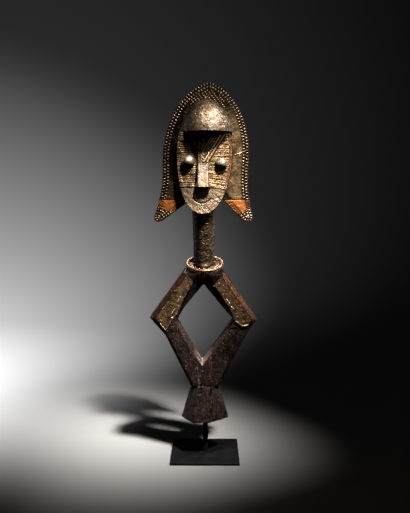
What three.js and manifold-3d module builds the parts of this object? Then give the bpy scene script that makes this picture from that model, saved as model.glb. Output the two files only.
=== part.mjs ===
// Kota reliquary figure: a wood carving dressed with metal sheets, on a steel stand.
// Millimetres, +Z up, the figure faces -Y. The origin is the centre of the plate's underside.
import * as THREE from 'three';
import { mergeVertices } from 'three/addons/utils/BufferGeometryUtils.js';
import { ConvexGeometry } from 'three/addons/geometries/ConvexGeometry.js';
import Module from 'manifold-3d';

const wasm = await Module();
wasm.setup();

// Driving dimensions of the stand
const PLATE = { side: 100, thickness: 4, seatDepth: 2 };
const ROD = { side: 7.5, x: 0.6, bareLength: 52, socketDepth: 28 };
const CLEARANCE = 0.3;

// Driving dimensions of the metal sheets: how far they lie off the wood, and how thick they are
const SHEET = { gap: 0.35, thickness: 0.8, seam: 0.4 };

// The figure's own heights are counted from the underside of its foot.
const HOOD = { apexX: 6.2, top: 492, halfWidth: 64, shoulderZ: 384, crownSweep: 0.35, edge: 0.7 };
const BOARD = { frontY: -6, backY: 11, sweep: 8, backRound: 5 };
const BORDER = { insets: [2.2, 6.8], width: 1.6, height: 0.6 };
const FACE = { x: -0.5, lean: 2.5, chinZ: 303.5, middleZ: 389, topZ: 459, halfWidth: 40, frontY: -20, sideDrop: 7 };
const PROFILE = { hollowZ: 379, reach: 75, chinBow: 6, browBow: 3, backY: 0, chinTaper: 0.93 };
const FOREHEAD = { x: 1.5, y: -8, ledgeZ: 420, halfWidth: 33, reach: 32, height: 45.5 };
const NOSE = { x: -2.7, width: 13, topZ: 396, baseZ: 342, rootRise: 0.2, tipY: -33.5, backY: -12 };
const NOSE_SHEET = { topZ: 375.4 };
const NOSTRIL = { flare: 3, height: 7, setBack: 5 };
const BROW = { topLeft: -30.5, topRight: 32.5, bottomLeft: -10.3, bottomRight: 5.2, bottomZ: 376 };
const BROW_RIDGE = { width: 1.5, pitch: 3.4, inset: 0.8, height: 1.1 };
const EYE = { radius: 9, sunk: 1.5, left: [-23.8, 377.1], right: [22.9, 374.3] };
const CHEEK = { bottomZ: 341.5, strips: 13, slantDeg: 12, slantFromX: 10, slantEndZ: 385, inset: 0.8, innerX: 2 };
const TEMPLE = { width: 3.4, fromStrip: 1, innerX: 10 };
const MOUTH = { x: -4.5, z: 325.5, halfWidth: 13, drop: 6.5, width: 1.6, depth: 0.45 };
const NECK = { x: -1.6, bottomZ: 212, topZ: 334, radiusLow: 14, radiusHigh: 15.7, swellZ: [250, 314] };
const NECK_SHEET = { bottomZ: 228.5, topZ: 324 };
const SPINE = { topZ: 412, topRadius: 4, topY: 5 };
const COLLAR = { x: -0.4, rimZ: 230.6, radius: 26.6, rimTube: 1.7, tilt: 0.305, depth: 28 };
const BOWL = { depth: 7.5, lip: 1.6, above: 6 };
const RIBS = { count: 30, height: 0.02 };
const ARMS = { halfDepth: 24, chamfer: 6, flareDepth: 14, belowRim: 6, shoulderZ: 216, shoulderSlope: 1.6 };
const LOWER = { halfDepth: 23, chamfer: 4 };
const ARM_SHEET = { topZ: ARMS.shoulderZ - 1, topX: 26, innerX: 12.5, innerZ: 201, edgeGap: 0.5 };
const ARM_EDGE = { fromX: 26, topZ: 217, bottomZ: 153 };
const FOOT = { waistZ: 51, halfWidth: 35, waistX: 0.3, waistHalfWidth: 19.8, waistHalfDepth: 22.5 };

// Outlines in the front view, as [x, z]
const UPPER_ARMS = [[-1.6, 260.8], [-80.2, 152.7], [-58.5, 128], [64.2, 134.5], [75.3, 151]];
const LOWER_ARMS = [[-68, 148], [-19.2, FOOT.waistZ - 1], [19.8, FOOT.waistZ - 1], [70.5, 148]];
const OPENING = [[-2, 201.5], [-31, 166], [-41, 148], [-4.1, 83.1], [42, 149], [30, 162]];
const OPENING_AT_FRONT = [[-4.4, 227.6], [-32, 178.2], [-43, 148], [-4.1, 83.1], [43, 149], [36.5, 167.2]];
const ARM_SHEET_LEFT = [
  [-ARM_SHEET.innerX, ARM_SHEET.innerZ], [-ARM_SHEET.topX, ARM_SHEET.topZ], [-100, ARM_SHEET.topZ],
  [-100, 152], [-64.2, 143.4], [-57.1, 134.6], [-47.7, 148.8], [-38, 162],
];
const ARM_SHEET_RIGHT = [
  [ARM_SHEET.innerX, ARM_SHEET.innerZ], [38, 156], [42.7, 147.9], [54.7, 140.6], [64.8, 142.8],
  [100, 158], [100, ARM_SHEET.topZ], [ARM_SHEET.topX, ARM_SHEET.topZ],
];
const COLLAR_SHEET = [[-3, 204], [3, 208], [24, 224], [24, 240], [-24, 240], [-24, 224], [-8, 208]];

// Plans of the foot's sole and of the waist above it, as shares of their half widths and depths
const FOOT_PLAN = [
  [-1, -0.086], [-0.529, -0.857], [0.2, -0.886], [1, -0.143], [1, 0.143], [0.457, 0.829], [-0.486, 0.829],
  [-1, 0.143],
];
const WAIST_PLAN = [
  [-1, -0.55], [-0.6, -1], [0.6, -1], [1, -0.55], [1, 0.55], [0.6, 1], [-0.6, 1], [-1, 0.55],
];

// The hood's pendants, from the inner corner round the tip to the narrowing above it, and its throat
const PENDANT_LEFT = {
  inner: [-29.4, 317.5],
  corner: [-61.9, 293.2],
  round: [-76.5, 286.5],
  tip: [-75, 300],
  narrow: [-63, 332, -61, 349],
};
const PENDANT_RIGHT = {
  inner: [31.3, 318.8],
  corner: [56.8, 292],
  round: [71.5, 286.5],
  tip: [70.5, 299],
  narrow: [63, 364, 58.5, 339],
};
const THROAT = [[24, 328], [-22, 326]];

// The arch above the pendants: where it springs, and its curves as shares of its rise
const ARCH_LEFT = { x: -62, z: 374, handle: 0.593, shoulderX: -28, drop: 0.059 };
const ARCH_RIGHT = { x: 64, z: 389, handle: 0.563, shoulderX: 36, drop: 0.078 };

// Where the metal sheets of the hood meet, as the two ends of each seam
const SEAM = {
  crownLeft: [[-62, 426.7], [-20, 390]],
  crownRight: [[20, 377.4], [70, 395.7]],
  copperTop: [[-100, 324.5], [100, 324.5]],
  tipLeft: [[-80, 315.5], [-40, 303.5]],
  tipRight: [[45, 301], [75, 316.5]],
};

// Grid cells of the curved slabs
const CELLS = { hood: [12, 10], face: [8, 12] };

// Steps round the turned and curved forms
const STEPS = { hoodCurve: 8, face: 44, neck: 24, neckHeight: 4, bowl: 28, lining: 26, lip: 8 };

// Further than any part of the figure reaches from a form's middle
const FAR = 120;
const SKY = 600;

const COLOUR = {
  wood: 0x2b1d15,
  brass: 0x8a7440,
  bright: 0xb59a6c,
  copper: 0xb5643a,
  dark: 0x33291d,
  steel: 0x101010,
};

function finish(color, roughness, metalness) {
  return new THREE.MeshStandardMaterial({ color, roughness, metalness });
}

const MATERIAL = {
  wood: finish(COLOUR.wood, 0.75, 0),
  brass: finish(COLOUR.brass, 0.45, 0.9),
  bright: finish(COLOUR.bright, 0.4, 0.9),
  copper: finish(COLOUR.copper, 0.45, 0.9),
  dark: finish(COLOUR.dark, 0.5, 0.8),
  steel: finish(COLOUR.steel, 0.5, 0.6),
};

// Closed geometry to a solid that can be joined and cut
function solid(geometry) {
  const bare = geometry.clone();
  bare.deleteAttribute('normal');
  bare.deleteAttribute('uv');
  const merged = mergeVertices(bare, 1e-4);
  return new wasm.Manifold(new wasm.Mesh({
    numProp: 3,
    vertProperties: merged.attributes.position.array,
    triVerts: new Uint32Array(merged.index.array),
  }));
}

// A solid back to a geometry
function geometryOf(shape) {
  const mesh = shape.getMesh();
  const geometry = new THREE.BufferGeometry();
  geometry.setAttribute('position', new THREE.BufferAttribute(mesh.vertProperties, 3));
  geometry.setIndex(new THREE.BufferAttribute(mesh.triVerts, 1));
  geometry.computeVertexNormals();
  return geometry;
}

function union(...shapes) {
  return shapes.reduce((whole, shape) => whole.add(shape));
}

// Straight prism through the whole depth, from an outline in the front view
function prism(points, fromY = -FAR, toY = FAR) {
  const shape = new THREE.Shape(points.map(([x, z]) => new THREE.Vector2(x, z)));
  const geometry = new THREE.ExtrudeGeometry(shape, { depth: toY - fromY, bevelEnabled: false });
  geometry.rotateX(Math.PI / 2);
  geometry.translate(0, toY, 0);
  return solid(geometry);
}

function box(fromX, toX, fromY, toY, fromZ, toZ) {
  return prism([[fromX, fromZ], [toX, fromZ], [toX, toZ], [fromX, toZ]], fromY, toY);
}

function convex(points) {
  return solid(new ConvexGeometry(points.map((point) => new THREE.Vector3(...point))));
}

// Curved slab over a field of the front view: frontY and backY give its two faces
function slab([fromX, toX], [fromZ, toZ], cells, frontY, backY) {
  const geometry = new THREE.BoxGeometry(toX - fromX, 1, toZ - fromZ, cells[0], 1, cells[1]);
  geometry.translate((fromX + toX) / 2, 0, (fromZ + toZ) / 2);
  const place = geometry.attributes.position;
  for (let i = 0; i < place.count; i += 1) {
    const x = place.getX(i);
    const z = place.getZ(i);
    place.setY(i, place.getY(i) < 0 ? frontY(x, z) : backY(x, z));
  }
  return solid(geometry);
}

// Moves each side of a convex counterclockwise outline outwards by a distance
function offset(points, distance) {
  const sides = points.map(([x, z], i) => {
    const [nextX, nextZ] = points[(i + 1) % points.length];
    const length = Math.hypot(nextX - x, nextZ - z);
    const normal = [(nextZ - z) / length, (x - nextX) / length];
    return { normal, reach: normal[0] * x + normal[1] * z + distance };
  });
  return sides.map((side, i) => {
    const before = sides[(i + sides.length - 1) % sides.length];
    const cross = before.normal[0] * side.normal[1] - before.normal[1] * side.normal[0];
    const x = (before.reach * side.normal[1] - side.reach * before.normal[1]) / cross;
    const z = (side.reach * before.normal[0] - before.reach * side.normal[0]) / cross;
    return [x, z];
  });
}

// Everything on one side of a seam: side 1 lies above it, side -1 below, each held back by half the seam
function besideSeam([start, end], side) {
  const direction = new THREE.Vector2(end[0] - start[0], end[1] - start[1]).normalize();
  const up = new THREE.Vector2(-direction.y, direction.x).multiplyScalar(side);
  const corner = (along, off) => [
    start[0] + direction.x * along + up.x * off,
    start[1] + direction.y * along + up.y * off,
  ];
  const near = SHEET.seam / 2;
  const points = [corner(-FAR, near), corner(3 * FAR, near), corner(3 * FAR, 3 * FAR), corner(-FAR, 3 * FAR)];
  return prism(side > 0 ? points : points.reverse());
}

// Hood: a pointed arch with two pendants, swept back towards its edges
function hoodOutline() {
  const riseLeft = HOOD.top - ARCH_LEFT.z;
  const riseRight = HOOD.top - ARCH_RIGHT.z;
  const shape = new THREE.Shape();
  shape.moveTo(...PENDANT_LEFT.inner);
  shape.lineTo(...PENDANT_LEFT.corner);
  shape.quadraticCurveTo(...PENDANT_LEFT.round, ...PENDANT_LEFT.tip);
  shape.bezierCurveTo(...PENDANT_LEFT.narrow, ARCH_LEFT.x, ARCH_LEFT.z);
  shape.bezierCurveTo(
    ARCH_LEFT.x,
    ARCH_LEFT.z + ARCH_LEFT.handle * riseLeft,
    ARCH_LEFT.shoulderX,
    HOOD.top - ARCH_LEFT.drop * riseLeft,
    HOOD.apexX,
    HOOD.top,
  );
  shape.bezierCurveTo(
    ARCH_RIGHT.shoulderX,
    HOOD.top - ARCH_RIGHT.drop * riseRight,
    ARCH_RIGHT.x,
    ARCH_RIGHT.z + ARCH_RIGHT.handle * riseRight,
    ARCH_RIGHT.x,
    ARCH_RIGHT.z,
  );
  shape.bezierCurveTo(...PENDANT_RIGHT.narrow, ...PENDANT_RIGHT.tip);
  shape.quadraticCurveTo(...PENDANT_RIGHT.round, ...PENDANT_RIGHT.corner);
  shape.lineTo(...PENDANT_RIGHT.inner);
  THROAT.forEach((point) => shape.lineTo(...point));
  return shape;
}

const HOOD_X = [-HOOD.halfWidth - 18, HOOD.halfWidth + 18];
const HOOD_Z = [PENDANT_LEFT.round[1] - 6, HOOD.top + 8];
const hoodRise = (z) => Math.max(z - HOOD.shoulderZ, 0) / (HOOD.top - HOOD.shoulderZ);
const hoodCurve = (x, z) => (x / HOOD.halfWidth) ** 2 + HOOD.crownSweep * hoodRise(z) ** 2;
const hoodFront = (x, z) => BOARD.frontY + BOARD.sweep * hoodCurve(x, z);
const hoodBack = (x, z) => BOARD.backY - BOARD.backRound * hoodCurve(x, z);
const hoodSlab = (front, back) => slab(HOOD_X, HOOD_Z, CELLS.hood, front, back);
const inFrontOfHood = (from, to) => hoodSlab((x, z) => hoodFront(x, z) - to, (x, z) => hoodFront(x, z) - from);

// The hood's outline as points, held back from its edge by an inset.
// It runs clockwise, so the inside is on its right.
function hoodPoints(inset) {
  const points = hoodOutline().getPoints(STEPS.hoodCurve);
  return points.map((point, i) => {
    const before = points[(i + points.length - 1) % points.length];
    const after = points[(i + 1) % points.length];
    const along = after.clone().sub(before).normalize();
    return [point.x + along.y * inset, point.y - along.x * inset];
  });
}

// Face: an oval mask, wider above, leaning a little at the chin
function faceLean(z) {
  const down = THREE.MathUtils.smoothstep(FACE.middleZ - z, 0, FACE.middleZ - FACE.chinZ);
  return FACE.x - FACE.lean * down;
}

function faceOutline(inset) {
  const points = [];
  for (let i = 0; i < STEPS.face; i += 1) {
    const angle = (2 * Math.PI * i) / STEPS.face;
    const rise = Math.sin(angle) > 0 ? FACE.topZ - FACE.middleZ : FACE.middleZ - FACE.chinZ;
    const z = FACE.middleZ + (rise - inset) * Math.sin(angle);
    const fullness = Math.sin(angle) > 0 ? 1 : PROFILE.chinTaper;
    const across = Math.sign(Math.cos(angle)) * Math.abs(Math.cos(angle)) ** fullness;
    points.push([faceLean(z) + (FACE.halfWidth - inset) * across, z]);
  }
  return points;
}

const FACE_X = [-FACE.halfWidth - 6, FACE.halfWidth + 6];
const FACE_Z = [FACE.chinZ - 7, FACE.topZ + 13];

// The face is hollow at eye level and comes forward to the chin and the brow, and it drops back to its sides.
function faceFront(x, z) {
  const bow = z < PROFILE.hollowZ ? PROFILE.chinBow : PROFILE.browBow;
  const forward = bow * ((PROFILE.hollowZ - z) / PROFILE.reach) ** 2;
  const back = FACE.sideDrop * ((x - faceLean(z)) / FACE.halfWidth) ** 2;
  return FACE.frontY - forward + back;
}

const inFrontOfFace = (from, to) => slab(
  FACE_X,
  FACE_Z,
  CELLS.face,
  (x, z) => faceFront(x, z) - to,
  (x, z) => faceFront(x, z) - from,
);
const sheetFrom = SHEET.gap;
const sheetTo = SHEET.gap + SHEET.thickness;
const faceSheet = () => inFrontOfFace(sheetFrom, sheetTo);

function forehead(grow) {
  const geometry = new THREE.SphereGeometry(1, 22, 14);
  geometry.rotateX(Math.PI / 2);
  geometry.scale(FOREHEAD.halfWidth + grow, FOREHEAD.reach + grow, FOREHEAD.height + grow);
  geometry.translate(FOREHEAD.x, FOREHEAD.y, FOREHEAD.ledgeZ);
  const front = box(-FAR, FAR, -FAR, hoodFront(0, FOREHEAD.ledgeZ) + 3, FOREHEAD.ledgeZ, FACE.topZ + 20);
  return solid(geometry).intersect(front);
}

// Nose: a wedge that stands out most at its base, where the nostrils flare
function nose(grow) {
  const half = NOSE.width / 2 + grow;
  const rootY = faceFront(NOSE.x, NOSE.topZ) - NOSE.rootRise - grow;
  const tipY = NOSE.tipY - grow;
  const { backY, baseZ } = NOSE;
  const wedge = convex([-half, half].flatMap((off) => [
    [NOSE.x + off, rootY, NOSE.topZ],
    [NOSE.x + off, backY, NOSE.topZ],
    [NOSE.x + off, tipY, baseZ],
    [NOSE.x + off, backY, baseZ],
  ]));
  const nostrils = convex([-1, 1].flatMap((side) => [
    [NOSE.x + side * (half + NOSTRIL.flare), tipY + NOSTRIL.setBack, baseZ],
    [NOSE.x + side * (half + NOSTRIL.flare), backY, baseZ],
    [NOSE.x + side * half, tipY, baseZ],
    [NOSE.x + side * (half - 1), tipY + 1, baseZ + NOSTRIL.height],
    [NOSE.x + side * (half - 1), backY, baseZ + NOSTRIL.height],
  ]));
  return union(wedge, nostrils);
}

function neckProfile(grow, fromZ, toZ) {
  const profile = [new THREE.Vector2(0, fromZ)];
  for (let i = 0; i <= STEPS.neckHeight; i += 1) {
    const z = fromZ + ((toZ - fromZ) * i) / STEPS.neckHeight;
    const spread = THREE.MathUtils.smoothstep(z, ...NECK.swellZ);
    profile.push(new THREE.Vector2(NECK.radiusLow + (NECK.radiusHigh - NECK.radiusLow) * spread + grow, z));
  }
  profile.push(new THREE.Vector2(0, toZ));
  return profile;
}

// A turned form about an upright axis at x
function turned(profile, x, segments) {
  const geometry = new THREE.LatheGeometry(profile, segments);
  geometry.rotateX(Math.PI / 2);
  geometry.translate(x, 0, 0);
  return geometry;
}

function neck(grow, fromZ, toZ) {
  return solid(turned(neckProfile(grow, fromZ, toZ), NECK.x, STEPS.neck));
}

// The neck runs up the back of the hood as a spine that dies away
function spine() {
  const height = SPINE.topZ - NECK.topZ;
  const geometry = new THREE.CylinderGeometry(SPINE.topRadius, NECK.radiusHigh, height, 20, 3);
  geometry.rotateX(Math.PI / 2);
  const place = geometry.attributes.position;
  for (let i = 0; i < place.count; i += 1) {
    const share = place.getZ(i) / height + 0.5;
    place.setX(i, place.getX(i) + NECK.x);
    place.setY(i, place.getY(i) + SPINE.topY * share);
    place.setZ(i, NECK.topZ + height * share);
  }
  const behind = box(-FAR, FAR, BOARD.frontY + 2, FAR, NECK.topZ - 1, SPINE.topZ);
  return solid(geometry).intersect(behind);
}

// Tips a turned collar form forwards: fully at the rim, not at all at its foot
function tipped(geometry) {
  const place = geometry.attributes.position;
  for (let i = 0; i < place.count; i += 1) {
    const share = THREE.MathUtils.clamp(1 + place.getZ(i) / COLLAR.depth, 0, 1);
    place.setZ(i, place.getZ(i) + COLLAR.rimZ + COLLAR.tilt * share * place.getY(i));
  }
  return solid(geometry);
}

const points2 = (list) => list.map(([r, z]) => new THREE.Vector2(r, z));

// Collar: a bowl with a hollow round the neck
function collarBowl(grow, topZ, segments) {
  const r = COLLAR.radius - COLLAR.rimTube;
  return turned(points2([
    [0, -COLLAR.depth - grow],
    [0.3 * r + grow, -COLLAR.depth + 1 - grow],
    [0.66 * r + grow, -0.68 * COLLAR.depth - grow],
    [0.9 * r + grow, -0.36 * COLLAR.depth - grow],
    [r + grow, BOWL_TOP - 1],
    [r + grow, topZ],
    [0, topZ],
  ]), COLLAR.x, segments);
}

const BOWL_TOP = -COLLAR.rimTube - CLEARANCE;

function collarHollow(grow) {
  const r = COLLAR.radius - COLLAR.rimTube;
  return points2([
    [0, -BOWL.depth + grow],
    [NECK.radiusLow + 2, -BOWL.depth + grow],
    [0.86 * r - grow, -0.5 * BOWL.depth + grow],
    [r - BOWL.lip - grow, BOWL_TOP],
    [r - BOWL.lip - grow, BOWL.above],
    [0, BOWL.above],
  ]);
}

// A block with an outline in the front view, chamfered front and back
function chamferedBlock(outline, halfDepth, chamfer, grow) {
  const edge = offset(outline, grow);
  const face = offset(outline, grow - chamfer);
  const depth = halfDepth + grow;
  const points = [-1, 1].flatMap((side) => [
    ...edge.map(([x, z]) => [x, side * (depth - chamfer), z]),
    ...face.map(([x, z]) => [x, side * depth, z]),
  ]);
  return convex(points);
}

// The widening of the lozenge's opening towards one face: side -1 is the front
function openingFlare(side, grow) {
  const past = 1.4;
  const inner = offset(OPENING, -grow);
  const face = offset(OPENING_AT_FRONT, -grow);
  const points = inner.flatMap(([x, z], i) => {
    const out = [x + (face[i][0] - x) * past, z + (face[i][1] - z) * past];
    const depth = ARMS.flareDepth * past;
    const start = ARMS.halfDepth + grow - ARMS.flareDepth;
    return [[x, side * start, z], [out[0], side * (start + depth), out[1]]];
  });
  return convex(points);
}

// Everything below a plane that has a height at y = 0 and a slope along y
function belowPlane(height, slope) {
  return convex([-FAR, FAR].flatMap((x) => [-FAR, FAR].flatMap((y) => [
    [x, y, height + slope * y],
    [x, y, -2 * FAR],
  ])));
}

function belowRim(drop) {
  return belowPlane(COLLAR.rimZ - drop, COLLAR.tilt);
}

// The arms' shoulders slope up towards the collar, in front and behind
function belowShoulders(grow) {
  const height = ARMS.shoulderZ + ARMS.shoulderSlope * ARMS.halfDepth + 2 * grow;
  return belowPlane(height, ARMS.shoulderSlope).intersect(belowPlane(height, -ARMS.shoulderSlope));
}

function upperArms(grow) {
  return chamferedBlock(UPPER_ARMS, ARMS.halfDepth, ARMS.chamfer, grow);
}

function lozenge(grow) {
  const lower = chamferedBlock(LOWER_ARMS, LOWER.halfDepth, LOWER.chamfer, grow);
  return union(upperArms(grow), lower)
    .subtract(prism(offset(OPENING, -grow)))
    .subtract(openingFlare(-1, grow))
    .subtract(openingFlare(1, grow))
    .intersect(belowRim(ARMS.belowRim - 1.1 * grow))
    .intersect(belowShoulders(grow));
}

function foot() {
  const waist = WAIST_PLAN.map(([x, y]) => [
    x * FOOT.waistHalfWidth + FOOT.waistX,
    y * FOOT.waistHalfDepth,
    FOOT.waistZ,
  ]);
  const sole = FOOT_PLAN.map(([x, y]) => [x * FOOT.halfWidth, y * FOOT.halfWidth, 0]);
  return convex([...waist, ...sole]);
}

function rodSocket() {
  const half = ROD.side / 2 + CLEARANCE;
  return box(ROD.x - half, ROD.x + half, -half, half, -10, ROD.socketDepth + CLEARANCE);
}

function woodFigure() {
  const hood = hoodSlab(hoodFront, hoodBack).intersect(prism(hoodPoints(0)));
  const faceBlock = slab(FACE_X, FACE_Z, CELLS.face, faceFront, () => PROFILE.backY);
  const face = faceBlock.intersect(prism(faceOutline(0)));
  const mask = union(face, forehead(0), nose(0));
  const body = union(tipped(collarBowl(0, BOWL_TOP, STEPS.bowl)), lozenge(0), foot())
    .subtract(tipped(turned(collarHollow(0), COLLAR.x, STEPS.lining)))
    .subtract(rodSocket());
  return union(hood, mask, neck(0, NECK.bottomZ, NECK.topZ), spine(), body);
}

// Low ribs along the hood's border, which the beads ride on
function borderRib(inset) {
  const outer = hoodPoints(inset);
  const inner = hoodPoints(inset + BORDER.width);
  const first = STEPS.hoodCurve + 2;
  const last = first + 4 * STEPS.hoodCurve - 1;
  const band = [...outer.slice(first, last), ...inner.slice(first, last).reverse()];
  return inFrontOfHood(sheetTo - 0.2, sheetTo + BORDER.height).intersect(prism(band));
}

function hoodSheets() {
  const board = inFrontOfHood(sheetFrom, sheetTo).intersect(prism(hoodPoints(HOOD.edge)));
  const dressed = union(board, ...BORDER.insets.map(borderRib))
    .subtract(prism(faceOutline(-CLEARANCE - SHEET.gap)))
    .subtract(forehead(CLEARANCE + sheetTo));
  const left = dressed.intersect(box(-FAR, -FACE.halfWidth / 3, -FAR, FAR, 0, SKY));
  const right = dressed.intersect(box(FACE.halfWidth / 3, FAR, -FAR, FAR, 0, SKY));
  const above = (seam) => besideSeam(seam, 1);
  const below = (seam) => besideSeam(seam, -1);
  return {
    hood_sheet_crown: dressed.intersect(above(SEAM.crownLeft)).intersect(above(SEAM.crownRight)),
    hood_sheet_left: left.intersect(below(SEAM.crownLeft)).intersect(above(SEAM.copperTop)),
    hood_sheet_right: right.intersect(below(SEAM.crownRight)).intersect(above(SEAM.copperTop)),
    pendant_copper_left: left.intersect(below(SEAM.copperTop)).intersect(above(SEAM.tipLeft)),
    pendant_copper_right: right.intersect(below(SEAM.copperTop)).intersect(above(SEAM.tipRight)),
    pendant_tip_left: left.intersect(below(SEAM.tipLeft)),
    pendant_tip_right: right.intersect(below(SEAM.tipRight)),
  };
}

function browRegion(grow) {
  return offset([
    [BROW.topRight, FOREHEAD.ledgeZ - SHEET.seam],
    [BROW.topLeft, FOREHEAD.ledgeZ - SHEET.seam],
    [BROW.bottomLeft, BROW.bottomZ],
    [BROW.bottomRight, BROW.bottomZ],
  ], grow);
}

// Two bars run down the right edge of the brow plate
function browRidge(number) {
  const { width, pitch, inset } = BROW_RIDGE;
  const shift = inset + number * pitch;
  const top = BROW.topRight - shift;
  const bottom = BROW.bottomRight - shift;
  return prism([
    [bottom - width, BROW.bottomZ + 1],
    [bottom, BROW.bottomZ + 1],
    [top, FOREHEAD.ledgeZ - 1],
    [top - width, FOREHEAD.ledgeZ - 1],
  ]);
}

// Face and nose together, as deep as a form that lies a distance in front of them
function maskFront(distance) {
  return union(inFrontOfFace(-8, distance), nose(distance));
}

function browPlate() {
  const relief = inFrontOfFace(sheetTo - 0.3, sheetTo + BROW_RIDGE.height);
  const ridges = union(browRidge(0), browRidge(1)).intersect(relief);
  return union(maskFront(sheetTo), ridges)
    .subtract(maskFront(sheetFrom))
    .intersect(prism(browRegion(0)))
    .intersect(inFrontOfFace(sheetFrom, FAR));
}

function noseSheet() {
  const shell = nose(sheetTo).subtract(nose(sheetFrom));
  const field = box(-FAR, FAR, -FAR, FAR, NOSE.baseZ, NOSE_SHEET.topZ);
  return shell.intersect(field).intersect(inFrontOfFace(sheetFrom, FAR));
}

function noseRegion(grow) {
  const half = NOSE.width / 2 + sheetTo + grow;
  const flare = half + NOSTRIL.flare;
  const baseZ = NOSE.baseZ - grow;
  const wideZ = NOSE.baseZ + 2;
  const narrowZ = wideZ + NOSTRIL.height;
  return [
    [NOSE.x - flare, baseZ], [NOSE.x + flare, baseZ], [NOSE.x + flare, wideZ],
    [NOSE.x + half, narrowZ], [NOSE.x + half, BROW.bottomZ], [NOSE.x - half, BROW.bottomZ],
    [NOSE.x - half, narrowZ], [NOSE.x - flare, wideZ],
  ];
}

// Height of a border between two cheek strips at x: those on the right slant down below the eye
function stripHeight(side, border, x) {
  const pitch = (FOREHEAD.ledgeZ - CHEEK.bottomZ) / CHEEK.strips;
  const z = CHEEK.bottomZ + border * pitch;
  const slant = side < 0 ? 0 : Math.max(0, (CHEEK.slantEndZ - z) / (CHEEK.slantEndZ - CHEEK.bottomZ));
  return z - Math.tan(THREE.MathUtils.degToRad(CHEEK.slantDeg * slant)) * (Math.abs(x) - CHEEK.slantFromX);
}

function cheekStrip(side, number) {
  const inner = side * CHEEK.innerX;
  const outer = side * FAR;
  const half = SHEET.seam / 2;
  const points = [
    [inner, stripHeight(side, number, inner) + half],
    [outer, stripHeight(side, number, outer) + half],
    [outer, stripHeight(side, number + 1, outer) - half],
    [inner, stripHeight(side, number + 1, inner) - half],
  ];
  return prism(side > 0 ? points : points.reverse());
}

// The field of the face that strips, temple and chin share: inside the oval, clear of brow and nose
function cheekField() {
  return faceSheet()
    .intersect(prism(faceOutline(CHEEK.inset)))
    .subtract(prism(browRegion(SHEET.seam)))
    .subtract(prism(noseRegion(SHEET.seam)));
}

// The border along the right edge of the face, from its inner line outwards. It starts at a cheek strip's edge.
function templeBand(grow) {
  const topZ = FOREHEAD.ledgeZ - SHEET.seam / 2 + grow;
  const bottomZ = (x) => stripHeight(1, TEMPLE.fromStrip, x) + SHEET.seam / 2 - grow;
  const { innerX } = TEMPLE;
  const band = prism([[innerX, bottomZ(innerX)], [FAR, bottomZ(FAR)], [FAR, topZ], [innerX, topZ]]);
  return band.subtract(prism(faceOutline(CHEEK.inset + TEMPLE.width + grow)));
}

function cheeks() {
  const field = cheekField();
  const sheets = {};
  for (const [name, side] of [['left', -1], ['right', 1]]) {
    for (let number = 0; number < CHEEK.strips; number += 1) {
      const strip = field.intersect(cheekStrip(side, number));
      const label = `cheek_strip_${name}_${String(number + 1).padStart(2, '0')}`;
      const beside = side > 0 && number >= TEMPLE.fromStrip;
      sheets[label] = beside ? strip.subtract(templeBand(SHEET.seam)) : strip;
    }
  }
  sheets.temple_strip_right = field.intersect(templeBand(0));
  return sheets;
}

function mouthGroove() {
  const lip = new THREE.QuadraticBezierCurve(
    new THREE.Vector2(MOUTH.x - MOUTH.halfWidth, MOUTH.z),
    new THREE.Vector2(MOUTH.x, MOUTH.z - 2 * MOUTH.drop),
    new THREE.Vector2(MOUTH.x + MOUTH.halfWidth, MOUTH.z),
  ).getPoints(STEPS.lip);
  const lower = lip.map((point) => [point.x, point.y]);
  const upper = lip.map((point) => [point.x, point.y + MOUTH.width]).reverse();
  return prism([...lower, ...upper]).intersect(inFrontOfFace(sheetTo - MOUTH.depth, sheetTo + 5));
}

function chinSheet() {
  const half = SHEET.seam / 2;
  const { innerX, bottomZ } = CHEEK;
  const points = [
    [-FAR, FACE.chinZ - FAR],
    [FAR, FACE.chinZ - FAR],
    [FAR, stripHeight(1, 0, FAR) - half],
    [innerX, stripHeight(1, 0, innerX) - half],
    [-innerX, bottomZ - half],
    [-FAR, bottomZ - half],
  ];
  return cheekField().intersect(prism(points)).subtract(mouthGroove());
}

function eye([x, z]) {
  const geometry = new THREE.SphereGeometry(EYE.radius, 16, 10);
  geometry.rotateX(Math.PI / 2);
  geometry.translate(x, faceFront(x, z) - sheetTo - CLEARANCE + EYE.sunk, z);
  return solid(geometry).intersect(inFrontOfFace(sheetTo + CLEARANCE, FAR));
}

function foreheadSheet() {
  const shell = forehead(sheetTo).subtract(forehead(sheetFrom));
  const above = box(-FAR, FAR, -FAR, FAR, FOREHEAD.ledgeZ + SHEET.seam / 2, SKY);
  const clearOfFace = inFrontOfFace(sheetFrom, FAR);
  const clearOfHood = inFrontOfHood(sheetFrom, FAR);
  return shell.intersect(above).intersect(clearOfFace).intersect(clearOfHood);
}

function neckSheet() {
  const { bottomZ, topZ } = NECK_SHEET;
  const shell = neck(sheetTo, bottomZ, topZ).subtract(neck(sheetFrom, bottomZ - 1, topZ + 1));
  return shell.subtract(prism(faceOutline(-CLEARANCE), -FAR, PROFILE.backY + CLEARANCE));
}

function collarRim() {
  const geometry = new THREE.TorusGeometry(COLLAR.radius - COLLAR.rimTube * 0.4, COLLAR.rimTube, 6, 36);
  geometry.translate(COLLAR.x, 0, 0);
  return tipped(geometry);
}

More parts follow.
